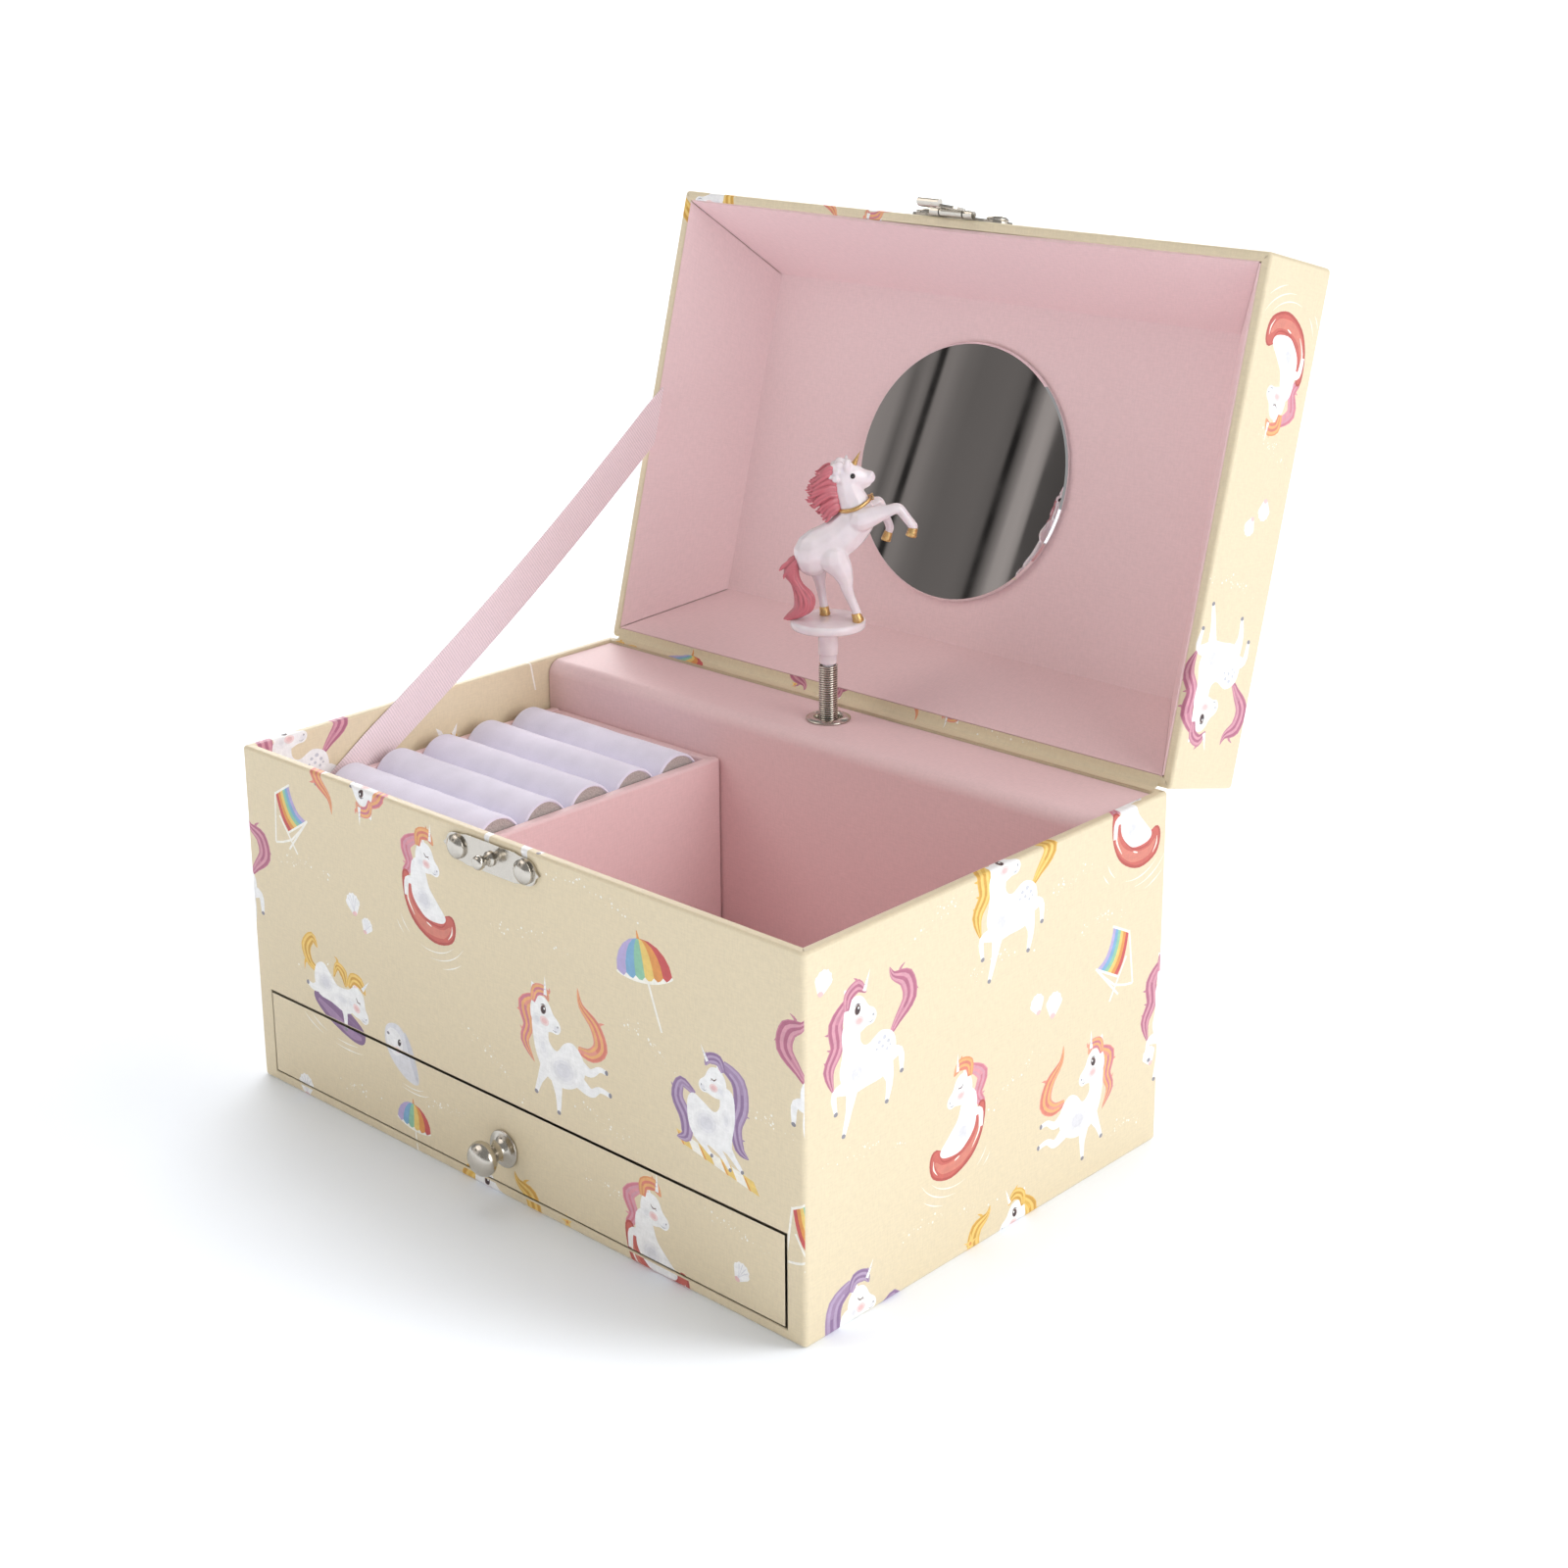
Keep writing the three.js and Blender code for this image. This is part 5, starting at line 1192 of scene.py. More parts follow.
# ---------- movement cover and insert ----------
def make_cover():
    """The pink cover over the movement: a face that folds into a top with a hole for the spindle."""
    x0, x1 = -87.2, 87.2
    fold, back = 3.6, 57.2
    side = [(COVER_FRONT, SHELF_TOP, 0), (COVER_FRONT, COVER_TOP - fold, 0)]
    side += [
        (COVER_FRONT + fold - fold * math.cos(t), COVER_TOP - fold + fold * math.sin(t), t)
        for t in (math.pi / 2 * k / 12 for k in range(13))
    ]
    side += [(back, COVER_TOP, math.pi / 2)]
    # Unrolled, the sheet's length runs up the face and over the top.
    lengths = [0.0]
    for (ay, az, _), (by, bz, _) in zip(side, side[1:]):
        lengths.append(lengths[-1] + math.hypot(by - ay, bz - az))
    spot = lengths[-1] - (back - SPINDLE.y)
    hole = [(SPINDLE.x + 4.2 * math.cos(math.pi * k / 18), spot + 4.2 * math.sin(math.pi * k / 18))
        for k in range(36)]
    pin = lengths[-1] - (back - 55.6)
    pin_hole = [(-7.5 + 1.1 * math.cos(math.pi * k / 8), pin + 1.1 * math.sin(math.pi * k / 8))
        for k in range(16)]
    outline = [(x0, 0), (x1, 0), (x1, lengths[-1]), (x0, lengths[-1])]
    lines = [((x0, s), (x1, s)) for s in lengths[1:-1]]
    flat, triangles, _ = triangulate(outline, lines, [], (hole, pin_hole))

    def on_sheet(s, thickness):
        for k in range(len(side) - 1):
            if s <= lengths[k + 1] + 1e-6:
                t = (s - lengths[k]) / (lengths[k + 1] - lengths[k])
                y, z, a = (side[k][j] + (side[k + 1][j] - side[k][j]) * t for j in range(3))
                return (y + thickness * math.cos(a), z - thickness * math.sin(a)), (-math.cos(a), math.sin(a))
        return (back, COVER_TOP - thickness), (0, 1)

    points, normals = [], []
    for thickness, sign in ((0, 1), (2, -1)):
        for u, s in flat:
            (y, z), (ny, nz) = on_sheet(s, thickness)
            points.append((u, y, z))
            normals.append((0, sign * ny, sign * nz))
    count = len(flat)
    faces = []
    for t in triangles:
        a, b, c = (Vector(points[i]) for i in t)
        if (b - a).cross(c - a).dot(Vector(normals[t[0]])) < 0:
            t = t[::-1]
        faces.append(t)
        faces.append([count + i for i in t[::-1]])
    # Close the sheet's edges: its rim and both holes.
    once = {}
    for t in faces[::2]:
        for i, j in zip(t, t[1:] + t[:1]):
            once[(i, j)] = (j, i) not in once
            if (j, i) in once:
                once[(j, i)] = False
                once[(i, j)] = False
    for (i, j), open_edge in once.items():
        if open_edge:
            faces.append([j, i, count + i, count + j])
    build("cover", points, faces, "case", PINK, "pink_paper", ["movement_cover"], flat=flat + flat, crease=50)


def pink_boxes(name, corners, radius, replaces=(), steps=3):
    """Boards of the insert, covered in the pink paper."""
    boxes(name, corners, radius, "case", PINK, "pink_paper", replaces, steps=steps)


def make_insert():
    front, tray_back, compartment_back = -57.2, COVER_FRONT - 0.3, 34.7
    pink_boxes("tray_left_wall", [((-85.5, front, SHELF_TOP), (-83.0, tray_back, 72.8))], 0.6)
    pink_boxes("tray_back_wall", [((-83.0, tray_back - 2.5, SHELF_TOP), (-27.5, tray_back, 72.6))], 0.6)
    pink_boxes("tray_floor", [((-83.0, front, SHELF_TOP), (-27.5, tray_back - 2.5, 28.5))], 0.4)
    pink_boxes("partition", [((-27.5, front, SHELF_TOP), (-24.5, tray_back, 73.0))], 0.8, ["ring_tray"], 4)
    pink_boxes("compartment_walls", [
        ((-24.2, front, SHELF_TOP), (86.2, -56.2, 84.6)),
        ((86.2, front, SHELF_TOP), (87.2, compartment_back, 84.6)),
    ], 0.4, ["compartment_lining"])
    pink_boxes("compartment_floor", [((-24.2, -55.9, SHELF_TOP), (85.9, compartment_back, 28.0))], 0.4,
               ["compartment_pad"])
    boxes("roll_support", [((-82.7, -56.2, 28.5), (-27.8, 31.9, 61.8))], 0.8, "case", FOAM, "foam",
          ["ring_foam_block"])
    make_rolls()


def make_rolls():
    """Foam rolls in velvet, pressed a little against each other."""
    left, right = -82.7, -27.8
    for k in range(6):
        y0, z0, r = 23.3 - k * 14.5, 69.0, 7.05
        rng = random.Random(40 + k)
        phase = [rng.uniform(0, 2 * math.pi) for _ in range(6)]
        sides, steps = 56, 60
        points = []

        def section(t, x, shrink):
            """Radius at angle t, with flats where the roll meets its neighbours."""
            side = abs(math.cos(t)) ** 10
            radius = r + 0.16 * side * (1 if abs(math.cos(t)) > 0.5 else 0)
            radius += 0.07 * math.sin(0.21 * x + phase[0]) * math.cos(t + phase[1])
            radius += 0.05 * math.sin(0.47 * x + phase[2]) * math.cos(2 * t + phase[3])
            radius += 0.03 * math.sin(1.1 * x + phase[4]) * math.cos(3 * t + phase[5])
            return min(radius, 7.22 if abs(math.cos(t)) > 0.8 else 7.2) - shrink

        stations = []
        for end in (0, 1):
            bend = []
            for j in range(6):
                a = math.pi / 2 * j / 5
                bend.append((0.55 * (1 - math.sin(a)), 0.55 * (1 - math.cos(a))))
            if end == 0:
                stations += [(left + 0.35, 0.75)] + [(left + dx, s) for s, dx in [(b, a) for a, b in bend]][
                    ::-1]
            else:
                stations += [(right - dx, s) for s, dx in [(b, a) for a, b in bend]] + [(right - 0.35, 0.75)]
        inner = [left + 0.7 + (right - left - 1.4) * j / steps for j in range(steps + 1)]
        stations = stations[:7] + [(x, 0.0) for x in inner] + stations[7:]
        for x, shrink in stations:
            for i in range(sides):
                t = 2 * math.pi * i / sides
                rad = section(t, x, shrink)
                points.append((x, y0 + rad * math.cos(t), z0 + rad * math.sin(t)))
        rows = len(stations)
        faces = quads(rows, sides)
        # The foam's face closes each end, a little inside the velvet.
        caps = []
        for row, x, sign in ((0, left + 0.35, -1), (rows - 1, right - 0.35, 1)):
            base = row * sides
            rings = [[base + i for i in range(sides)]]
            for share in (0.8, 0.55, 0.3):
                start = len(points)
                for i in range(sides):
                    p = Vector(points[base + i])
                    centre = Vector((x, y0, z0))
                    q = centre + (p - centre) * share
                    points.append((x + sign * 0.12 * rng.uniform(0.0, 1.0), q.y, q.z))
                rings.append(list(range(start, start + sides)))
            hub = len(points)
            points.append((x + sign * 0.1, y0, z0))
            for outer, inner_ring in zip(rings, rings[1:]):
                for i in range(sides):
                    j = (i + 1) % sides
                    quad = [outer[i], outer[j], inner_ring[j], inner_ring[i]]
                    caps.append(quad if sign > 0 else quad[::-1])
            for i in range(sides):
                j = (i + 1) % sides
                tri = [rings[-1][i], rings[-1][j], hub]
                caps.append(tri if sign > 0 else tri[::-1])
        mesh = bpy.data.meshes.new(f"roll_{k + 1}")
        mesh.from_pydata([Vector(p) * MM for p in points], [], [f[::-1] for f in faces] + caps)
        mesh.materials.append(VELVET)
        mesh.materials.append(FOAM)
        for polygon in mesh.polygons[len(faces):]:
            polygon.material_index = 1
        mesh.shade_smooth()
        mesh.set_sharp_from_angle(angle=math.radians(60))
        roll = add_object(f"roll_{k + 1}", mesh, "case", [f"ring_roll_{k + 1}"])


# ---------- lid ----------
def make_lid():
    corners = [(BOARD, 4.0), (BOARD, LID_RIM), (0, LID_RIM), (0, LID_HEIGHT), (4, LID_HEIGHT)]
    wrap = Wrap(corners, [0, 0.6, 0.8, 0.9, 0], 1.1, -BOARD - (4.0 - LID_RIM))
    side = [("swim", 115.3, 13, -90, 0.95, False), ("shell", 146, 16.8, -90, 1.0, False),
        ("shell", 150, 12, -110, 0.9, False), ("run_pink", 184, 11, -90, 1.0, True),
        (spark(41, 20), 132, 14, 60, 1, False), (spark(42, 20), 164, 10, 80, 1, False),
        ("chair", 20, 20, 180, 0.9, False), ("swim", 60, 22, 180, 1.0, False),
        ("run_orange", -30, 10, 180, 1.0, False), ("parasol", -66, 16, 180, 0.9, False),
        ("shell", 42, 6, 180, 1.0, False), ("run_gold", -84, 4, 180, 1.0, False),
        ("parasol", -126, 14, 90, 0.9, False), ("run_orange", -166, 13, 90, 1.0, False),
        ("shell", -146, 8, 90, 1, False), ("swim", -240, 14, 180, 0.95, False),
        ("rest", 276, 12, 180, 0.94, False), ("run_gold", 240, 14, 180, 1.0, False),
        ("float", -278, 16, 180, 1.0, False)]
    wrap.make(
        "lid_paper", placed(side), "lid", "printed_paper",
        ["lid_left_wall", "lid_right_wall", "lid_front_wall", "lid_back_wall", "lid_top_board"],
        place=LID, offset=(0, -HALF_Y, 0),
    )
    inset = 4.0
    # The top's print runs on from the back, so it stands upright when the lid is open.
    top = [(-HALF_X + inset, -2 * HALF_Y + inset), (HALF_X - inset, -2 * HALF_Y + inset),
           (HALF_X - inset, -inset), (-HALF_X + inset, -inset)]
    layout = moved(TILE, 0, -112) + [("run_pink", -58, -22, 0, 1, False), ("parasol", -16, -14, 0, 1, False),
                                     ("swim", 30, -18, 0, 1, False), ("chair", 72, -16, 0, 1, False)]
    panel("lid_top_print", top, layout, lambda u, v: (u, v, LID_HEIGHT), (0, 0, 1), "lid", "printed_paper",
        (), LID)

    # Five panels of pink board make the liner, with a fine gap along each fold at the corners.
    rim_x, rim_low, rim_high = 87.3, -117.3, -2.7
    deep_x, deep_low, deep_high, depth = 71.8, -102.8, -17.2, 22.8
    rim = [(-rim_x, rim_low), (rim_x, rim_low), (rim_x, rim_high), (-rim_x, rim_high)]
    deep = [(-deep_x, deep_low), (deep_x, deep_low), (deep_x, deep_high), (-deep_x, deep_high)]
    parts = []
    for i in range(4):
        j = (i + 1) % 4
        a0, b0 = Vector((*rim[i], LID_RIM)), Vector((*rim[j], LID_RIM))
        a1, b1 = Vector((*deep[i], depth)), Vector((*deep[j], depth))
        along = (b0 - a0).normalized()
        gap = 0.16 if i == 3 else 0.06
        a0, a1, b0, b1 = a0 + along * gap, a1 + along * gap, b0 - along * gap, b1 - along * gap
        parts.append(curved_panel(a0, b0, a1, b1, 0.9, 0.8 if i == 0 else 0.0))
    points, faces, _, flat = joined(parts)
    build("liner_sides", points, faces, "lid", PINK, "pink_paper", ["lid_liner"], LID, None, flat, 40)
    boxes("liner_floor",
        [((-deep_x - 0.6, deep_low - 0.6, depth), (deep_x + 0.6, deep_high + 0.6, depth + 0.9))], 0.3, "lid",
        PINK, "pink_paper", (), LID)
    glass = depth - 0.1
    profile = [(0, glass - 1.4), (31.9, glass - 1.4), (32.4, glass - 1.0), (32.4, glass), (0, glass)]
    points, faces = lathe(profile, 96, "Z", (0, -HALF_Y, 0))
    build("mirror_disc", points, [f[::-1] for f in faces], "lid", MIRROR, "mirror", ["lid_mirror"], LID,
        crease=20)


def curved_panel(a0, b0, a1, b1, thickness, bow=0.0, across=28, up=8):
    """A board between two edges that bows very slightly. Its outside is away from the lid's middle."""
    along, rise = (b0 - a0).normalized(), ((a1 + b1) / 2 - (a0 + b0) / 2).normalized()
    out = along.cross(rise).normalized()
    if out.dot((a0 + b0) / 2 - Vector((0, -HALF_Y, 12))) < 0:
        out = -out
    points, flat = [], []
    length, height = (b0 - a0).length, ((a1 + b1) / 2 - (a0 + b0) / 2).length
    for layer in (0, 1):
        for j in range(up + 1):
            t = j / up
            left, right = a0.lerp(a1, t), b0.lerp(b1, t)
            for i in range(across + 1):
                s = i / across
                p = left.lerp(right, s) + out * (thickness * layer)
                p -= out * 0.25 * math.sin(math.pi * s) * math.sin(math.pi * t) * (1 - layer)
                p -= out * bow * math.sin(math.pi * s) ** 2 * (1 - t) ** 2
                points.append(tuple(p))
                flat.append((s * length, t * height))
    faces = []
    row, count = across + 1, (across + 1) * (up + 1)
    for j in range(up):
        for i in range(across):
            q = [j * row + i, j * row + i + 1, (j + 1) * row + i + 1, (j + 1) * row + i]
            faces.append(q)
            faces.append([count + k for k in q[::-1]])
    border = list(range(row)) + [j * row + across for j in range(1, up + 1)]
    border += [up * row + i for i in range(across - 1, -1, -1)] + [j * row for j in range(up - 1, 0, -1)]
    for i, k in enumerate(border):
        n = border[(i + 1) % len(border)]
        faces.append([n, k, count + k, count + n])
    a, b, c = (Vector(points[k]) for k in faces[0][:3])
    if (b - a).cross(c - a).dot(out) > 0:
        faces = [f[::-1] for f in faces]
    return points, faces, [(0, 0, 1)] * len(points), flat


def hinge_sheet(name, rows, half, layout):
    """Printed paper along the hinge. rows are its (y, z) across, from the case to the lid."""
    run = [0.0]
    for (ay, az), (by, bz) in zip(rows, rows[1:]):
        run.append(run[-1] + math.hypot(by - ay, bz - az))
    outline = [(-half, 0), (half, 0), (half, run[-1]), (-half, run[-1])]
    lines = [((-half, s), (half, s)) for s in run[1:-1]]
    lines += [((x, 0), (x, run[-1])) for x in range(-80, 81, 8)]
    flat, triangles, tones = triangulate(outline, lines, placed(layout))
    points = []
    for u, v in flat:
        k = max(i for i in range(len(run) - 1) if v >= run[i] - 1e-6)
        t = (v - run[k]) / (run[k + 1] - run[k])
        points.append((u, rows[k][0] + (rows[k + 1][0] - rows[k][0]) * t,
                rows[k][1] + (rows[k + 1][1] - rows[k][1]) * t))
    made = build(name, points, triangles, None, PAPER, "printed_paper", flat=flat, crease=60)
    ink_faces(made.data, tones)
    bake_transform(made)


def make_hinge():
    """Paper joins the case to the lid: a strip over both backs, and one inside over both rims."""
    along = Vector((-math.cos(OPEN), math.sin(OPEN)))  # away from the hinge across the lid's rim, as (y, z)
    deep = Vector((math.sin(OPEN), math.cos(OPEN)))  # into the lid
    hinge = Vector((HINGE.y, HINGE.z))
    rows = [(60.18, 68.0 + 2.9 * k) for k in range(7)] + [(60.3, 85.5)]
    for k in range(7):
        rows.append(tuple(hinge + deep * (0.7 + 2.05 * k) - along * 0.12))
    hinge_sheet("hinge_paper_outside", rows, 86, [])
    inner = [(57.3, 85.56), (58.2, 85.58), (59.0, 85.62)]
    crease = [Vector((59.0, 85.62)), Vector((59.9, 85.7)), hinge + along * 0.9 + deep * 0.02,
        hinge + along * 1.7 + deep * 0.09]
    inner += [tuple(p) for p in spline(crease, 4, False)][1:]
    inner.append(tuple(hinge + along * 2.5 + deep * 0.09))
    layout = [("parasol", -59, -4.9, 0, 0.9, False), ("star", -23, 3.2, 0, 0.5, False),
        ("run_pink", -14, 15.4, 180, 0.85, False), ("run_orange", 22, 15.6, 180, 0.85, False),
        (spark(5, 30, 4, 18), 44, 3.0, 0, 1.0, False), ("float", -84, -5, 0, 0.8, False)]
    hinge_sheet("hinge_paper_inside", inner, 86.8, layout)


# ---------- ribbon ----------
def make_ribbon():
    """Ribbed grosgrain, almost straight, from beside the tray to behind the lid's liner."""
    x0, width, thick = -86.95, 10.0, 0.36
    sin, cos = math.sin(OPEN), math.cos(OPEN)
    lid_at = lambda r, d: Vector((HINGE.y - r * cos + d * sin, HINGE.z + r * sin + d * cos))
    start, end = Vector((-24.5, 75.5)), lid_at(59.5, 0)
    direction = (end - start).normalized()
    line = [start - direction * 15]
    span = (end - start).length
    cross = Vector((-direction.y, direction.x))
    for k in range(13):
        t = k / 12
        line.append(start + direction * span * t - cross * 2.0 * math.sin(math.pi * t))
    line.append(end + direction * 9)
    line = spline([(p.x, p.y) for p in line], 60, False)
    total, marks = 0.0, [0.0]
    for a, b in zip(line, line[1:]):
        total += (b - a).length
        marks.append(total)
    count = int(total / (RIB / 4))
    half = width / 2
    across = [-half, -half + 0.25, -half + 0.6, -half / 2, 0, half / 2, half - 0.6, half - 0.25, half]
    points, flat = [], []
    k = 0
    for i in range(count + 1):
        s = total * i / count
        while k < len(marks) - 2 and marks[k + 1] < s:
            k += 1
        t = (s - marks[k]) / (marks[k + 1] - marks[k])
        p = line[k].lerp(line[k + 1], t)
        d = (line[k + 1] - line[k]).normalized()
        n = Vector((-d.y, d.x))
        ridge = 0.15 * (0.5 + 0.5 * math.cos(2 * math.pi * s / RIB))
        for side in (1, -1):
            for w in across if side > 0 else across[::-1]:
                selvedge = abs(w) > half - 0.5
                rise = thick / 2 * (0.75 if selvedge else 1.0) + (0.03 if selvedge else ridge)
                points.append((x0 + side * rise * 0.8, p.x + n.x * w, p.y + n.y * w))
                flat.append((w, s))
    ring = 2 * len(across)
    faces = quads(count + 1, ring)
    faces.append(list(range(ring)))
    faces.append([count * ring + j for j in range(ring)][::-1])
    made = build("ribbon", points, faces, None, RIBBON, "ribbon", ["stay_ribbon"], flat=flat, crease=70)
    recalculate(made)
    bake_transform(made)


def recalculate(made):
    bm = bmesh.new()
    bm.from_mesh(made.data)
    bmesh.ops.recalc_face_normals(bm, faces=bm.faces[:])
    bm.to_mesh(made.data)
    bm.free()


# ---------- spindle spring and figurine ----------
def make_spring():
    """The close-wound coil that carries the figurine, as one length of wire."""
    wire, radius = 0.27, 2.06
    low, high = 82.6, 99.0
    pitch = 0.575
    turns = (high - low - 2 * wire) / pitch
    steps, sides = int(turns * 20), 7
    points = []
    for i in range(steps + 1):
        a = 2 * math.pi * turns * i / steps
        z = low + wire + (high - low - 2 * wire) * i / steps
        for j in range(sides):
            b = 2 * math.pi * j / sides
            r = radius + wire * math.cos(b)
            points.append((SPINDLE.x + r * math.cos(a), SPINDLE.y + r * math.sin(a), z + wire * math.sin(b)))
    faces = [face[::-1] for face in quads(steps + 1, sides)]
    faces.append(list(range(sides)))
    faces.append([steps * sides + j for j in range(sides)][::-1])
    made = build("spring", points, faces, None, NICKEL, "nickel", ["stem_spring"], crease=80)
    recalculate(made)
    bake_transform(made)


def chain(path, flatten=1.0, steps=5):
    """Overlapping balls along a smooth path of (u, w, up, radius), as (points, faces)."""
    points, faces = [], []
    line = spline(path, steps, False)
    for q in line:
        base = len(points)
        r = q[3]
        rings, sides = 7, 10
        points.append((q[0], q[1], q[2] + r))
        for i in range(1, rings):
            a = math.pi * i / rings
            for j in range(sides):
                b = 2 * math.pi * j / sides
                points.append((q[0] + r * math.sin(a) * math.cos(b),
                        q[1] + r * flatten * math.sin(a) * math.sin(b), q[2] + r * math.cos(a)))
        points.append((q[0], q[1], q[2] - r))
        end = len(points) - 1
        for j in range(sides):
            k = (j + 1) % sides
            faces.append([base, base + 1 + j, base + 1 + k])
            for i in range(rings - 2):
                a = base + 1 + i * sides
                faces.append([a + j, a + sides + j, a + sides + k, a + k])
            a = base + 1 + (rings - 2) * sides
            faces.append([a + j, end, a + k])
    return points, faces


def sculpt(name, parts, voxel, smooth, rounds, body, material, replaces=(), keep=1.0, cut_below=None):
    """Joins balls into one skin, as clay is worked, and smooths it."""
    points, faces = [], []
    for p, f in parts:
        faces += [[i + len(points) for i in face] for face in f]
        points += p
    mesh = bpy.data.meshes.new(name)
    mesh.from_pydata([FIGURE @ Vector((p[0], p[1], p[2] + PLATFORM_TOP)) * MM for p in points], [], faces)
    made = bpy.data.objects.new(name, mesh)
    bpy.context.scene.collection.objects.link(made)
    remesh = made.modifiers.new("clay", "REMESH")
    remesh.mode, remesh.voxel_size = "VOXEL", voxel * MM
    ease = made.modifiers.new("ease", "SMOOTH")
    ease.factor, ease.iterations = smooth, rounds
    if keep < 1:
        thin = made.modifiers.new("thin", "DECIMATE")
        thin.ratio = keep
    graph = bpy.context.evaluated_depsgraph_get()
    final = bpy.data.meshes.new_from_object(made.evaluated_get(graph))
    made.modifiers.clear()
    made.data = final
    bpy.data.meshes.remove(mesh)
    final.materials.clear()
    final.materials.append(material)
    final.shade_smooth()
    if cut_below is not None:
        floor = (PLATFORM_TOP + cut_below) * MM
        for v in final.vertices:
            v.co.z = max(v.co.z, floor)
    if replaces:
        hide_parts(*replaces)
    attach(made, body)
    return made


def make_unicorn():
    body = [chain([(-3.6, 0, 15.0, 4.4), (-2.8, 0, 16.6, 5.3), (0.2, 0, 18.4, 5.1), (3.2, 0, 20.4, 4.9),
                (5.2, 0, 22.4, 4.8), (6.9, 0, 24.4, 4.5)], 0.88),
        chain([(6.6, 0, 25.2, 4.3), (6.4, 0, 27.4, 4.0), (5.4, 0, 30.0, 3.5), (4.6, 0, 32.4, 3.3),
                (4.4, 0, 34.4, 3.1)], 0.84),
        chain([(4.2, 0, 34.7, 3.4), (5.8, 0, 34.8, 3.0), (7.6, 0, 34.5, 2.3), (9.0, 0, 34.5, 1.85),
                (9.7, 0, 34.6, 1.6)], 0.82, 4),
        chain([(5.2, 0, 33.2, 2.6), (7.2, 0, 32.9, 1.6), (8.6, 0, 33.0, 1.15), (9.4, 0, 33.2, 0.9)], 0.84, 4),
        *(chain([(9.8, 0.8 * side, 35.2, 0.75), (10.3, 0.7 * side, 35.3, 0.6)], 0.9, 2) for side in (-1, 1)),
        *(chain([(4.4, 1.8 * side, 36.8, 0.95), (4.4, 2.2 * side, 38.0, 0.8), (4.5, 2.4 * side, 39.4, 0.25)],
                0.7, 4) for side in (1, -1)),
        chain([(7.6, -2.3, 24.8, 3.0), (10.8, -2.8, 26.0, 2.3), (13.8, -3.0, 27.0, 1.55),
                (16.4, -3.0, 27.6, 1.3), (18.2, -3.0, 25.6, 1.2), (20.0, -2.9, 23.3, 1.15)]),
        chain([(7.8, 2.2, 25.2, 2.9), (10.2, 2.8, 26.8, 2.0), (12.2, 3.0, 27.6, 1.4), (13.6, 3.0, 24.8, 1.1),
                (14.8, 3.0, 21.8, 1.05), (14.5, 3.0, 20.2, 0.95)]),
        chain([(1.2, -2.3, 15.4, 3.7), (3.0, -2.8, 12.9, 2.7), (4.0, -3.0, 10.4, 1.95),
                (4.3, -3.1, 8.6, 1.55), (5.1, -3.1, 6.2, 1.25), (6.4, -3.1, 3.2, 1.1),
                (6.9, -3.1, 1.6, 1.1)]),
        chain([(-3.0, 2.2, 14.4, 3.4), (-2.3, 2.7, 11.4, 2.2), (-1.9, 3.0, 9.0, 1.5), (-1.6, 3.1, 6.8, 1.2),
                (-1.2, 3.1, 4.2, 1.05), (-0.8, 3.1, 1.8, 1.05)])]
    # White curls between the ears and down the cheek.
    for u, w, up, r in ((1.7, 0.9, 37.2, 1.3), (1.5, -0.9, 37.0, 1.3), (2.8, 0.1, 38.2, 1.3),
            (2.5, -1.5, 37.8, 1.0), (2.6, 1.6, 37.8, 1.0), (4.4, 0.0, 38.1, 1.1), (5.0, -0.9, 37.6, 0.85),
            (5.4, 0.8, 37.3, 0.85), (0.9, 0.0, 36.0, 1.3), (0.6, -1.3, 35.2, 1.0), (0.7, 1.3, 35.2, 1.0),
            (1.9, -2.1, 36.3, 0.8), (1.6, -2.3, 34.6, 0.8), (1.9, 2.1, 36.3, 0.8)):
        body.append(chain([(u, w, up, r), (u + 0.3, w * 1.1, up + 0.15, r * 0.8)], 1.0, 2))
    sculpt("unicorn", body, 0.24, 0.5, 4, "figurine", WHITE, ["unicorn_body"], cut_below=0.02)

    rng = random.Random(7)
    # The mane blows back from the crest in layers of pointed locks.
    locks = [chain([(1.2, 0, 35.2, 1.3), (0.2, 0, 31.8, 1.9), (1.2, 0, 28.0, 1.6)], 0.95, 5)]
    for side in (-2.2, -1.5, -0.7, 0.7, 1.5, 2.2):
        for k in range(15):
            t = (k + rng.uniform(-0.35, 0.35)) / 14
            u, up = 1.5 + 1.1 * t * t, 36.6 - 9.6 * t
            reach = 4.9 + 2.5 * math.sin(math.pi * min(t * 1.05, 1)) - 1.1 * t + rng.uniform(-0.8,
                0.5) - 0.3 * abs(side)
            rise = 0.6 - 0.9 * t + rng.uniform(-0.35, 0.35)
            droop = 1.6 + 1.3 * t + rng.uniform(-0.7, 0.7)
            w, curl = side * 0.62, rng.uniform(-0.35, 0.35)
            locks.append(chain([(u, w, up, 0.5), (u - reach * 0.28, w + side * 0.2, up + rise * 0.9, 0.5),
                        (u - reach * 0.55, w + side * 0.24 + curl * 0.5, up + rise * 0.6 - droop * 0.25,
                            0.46), (u - reach * 0.78, w + side * 0.12 + curl, up - droop * (0.6 + 0.4 * curl),
                            0.4), (u - reach * 0.93, w + curl * 0.6, up - droop * 0.85, 0.28),
                        (u - reach * 1.02, w, up - droop * 0.8, 0.12)], 0.9, 7))
    sculpt("mane", locks, 0.13, 0.3, 1, "figurine", HAIR, ["unicorn_mane"], 0.3)

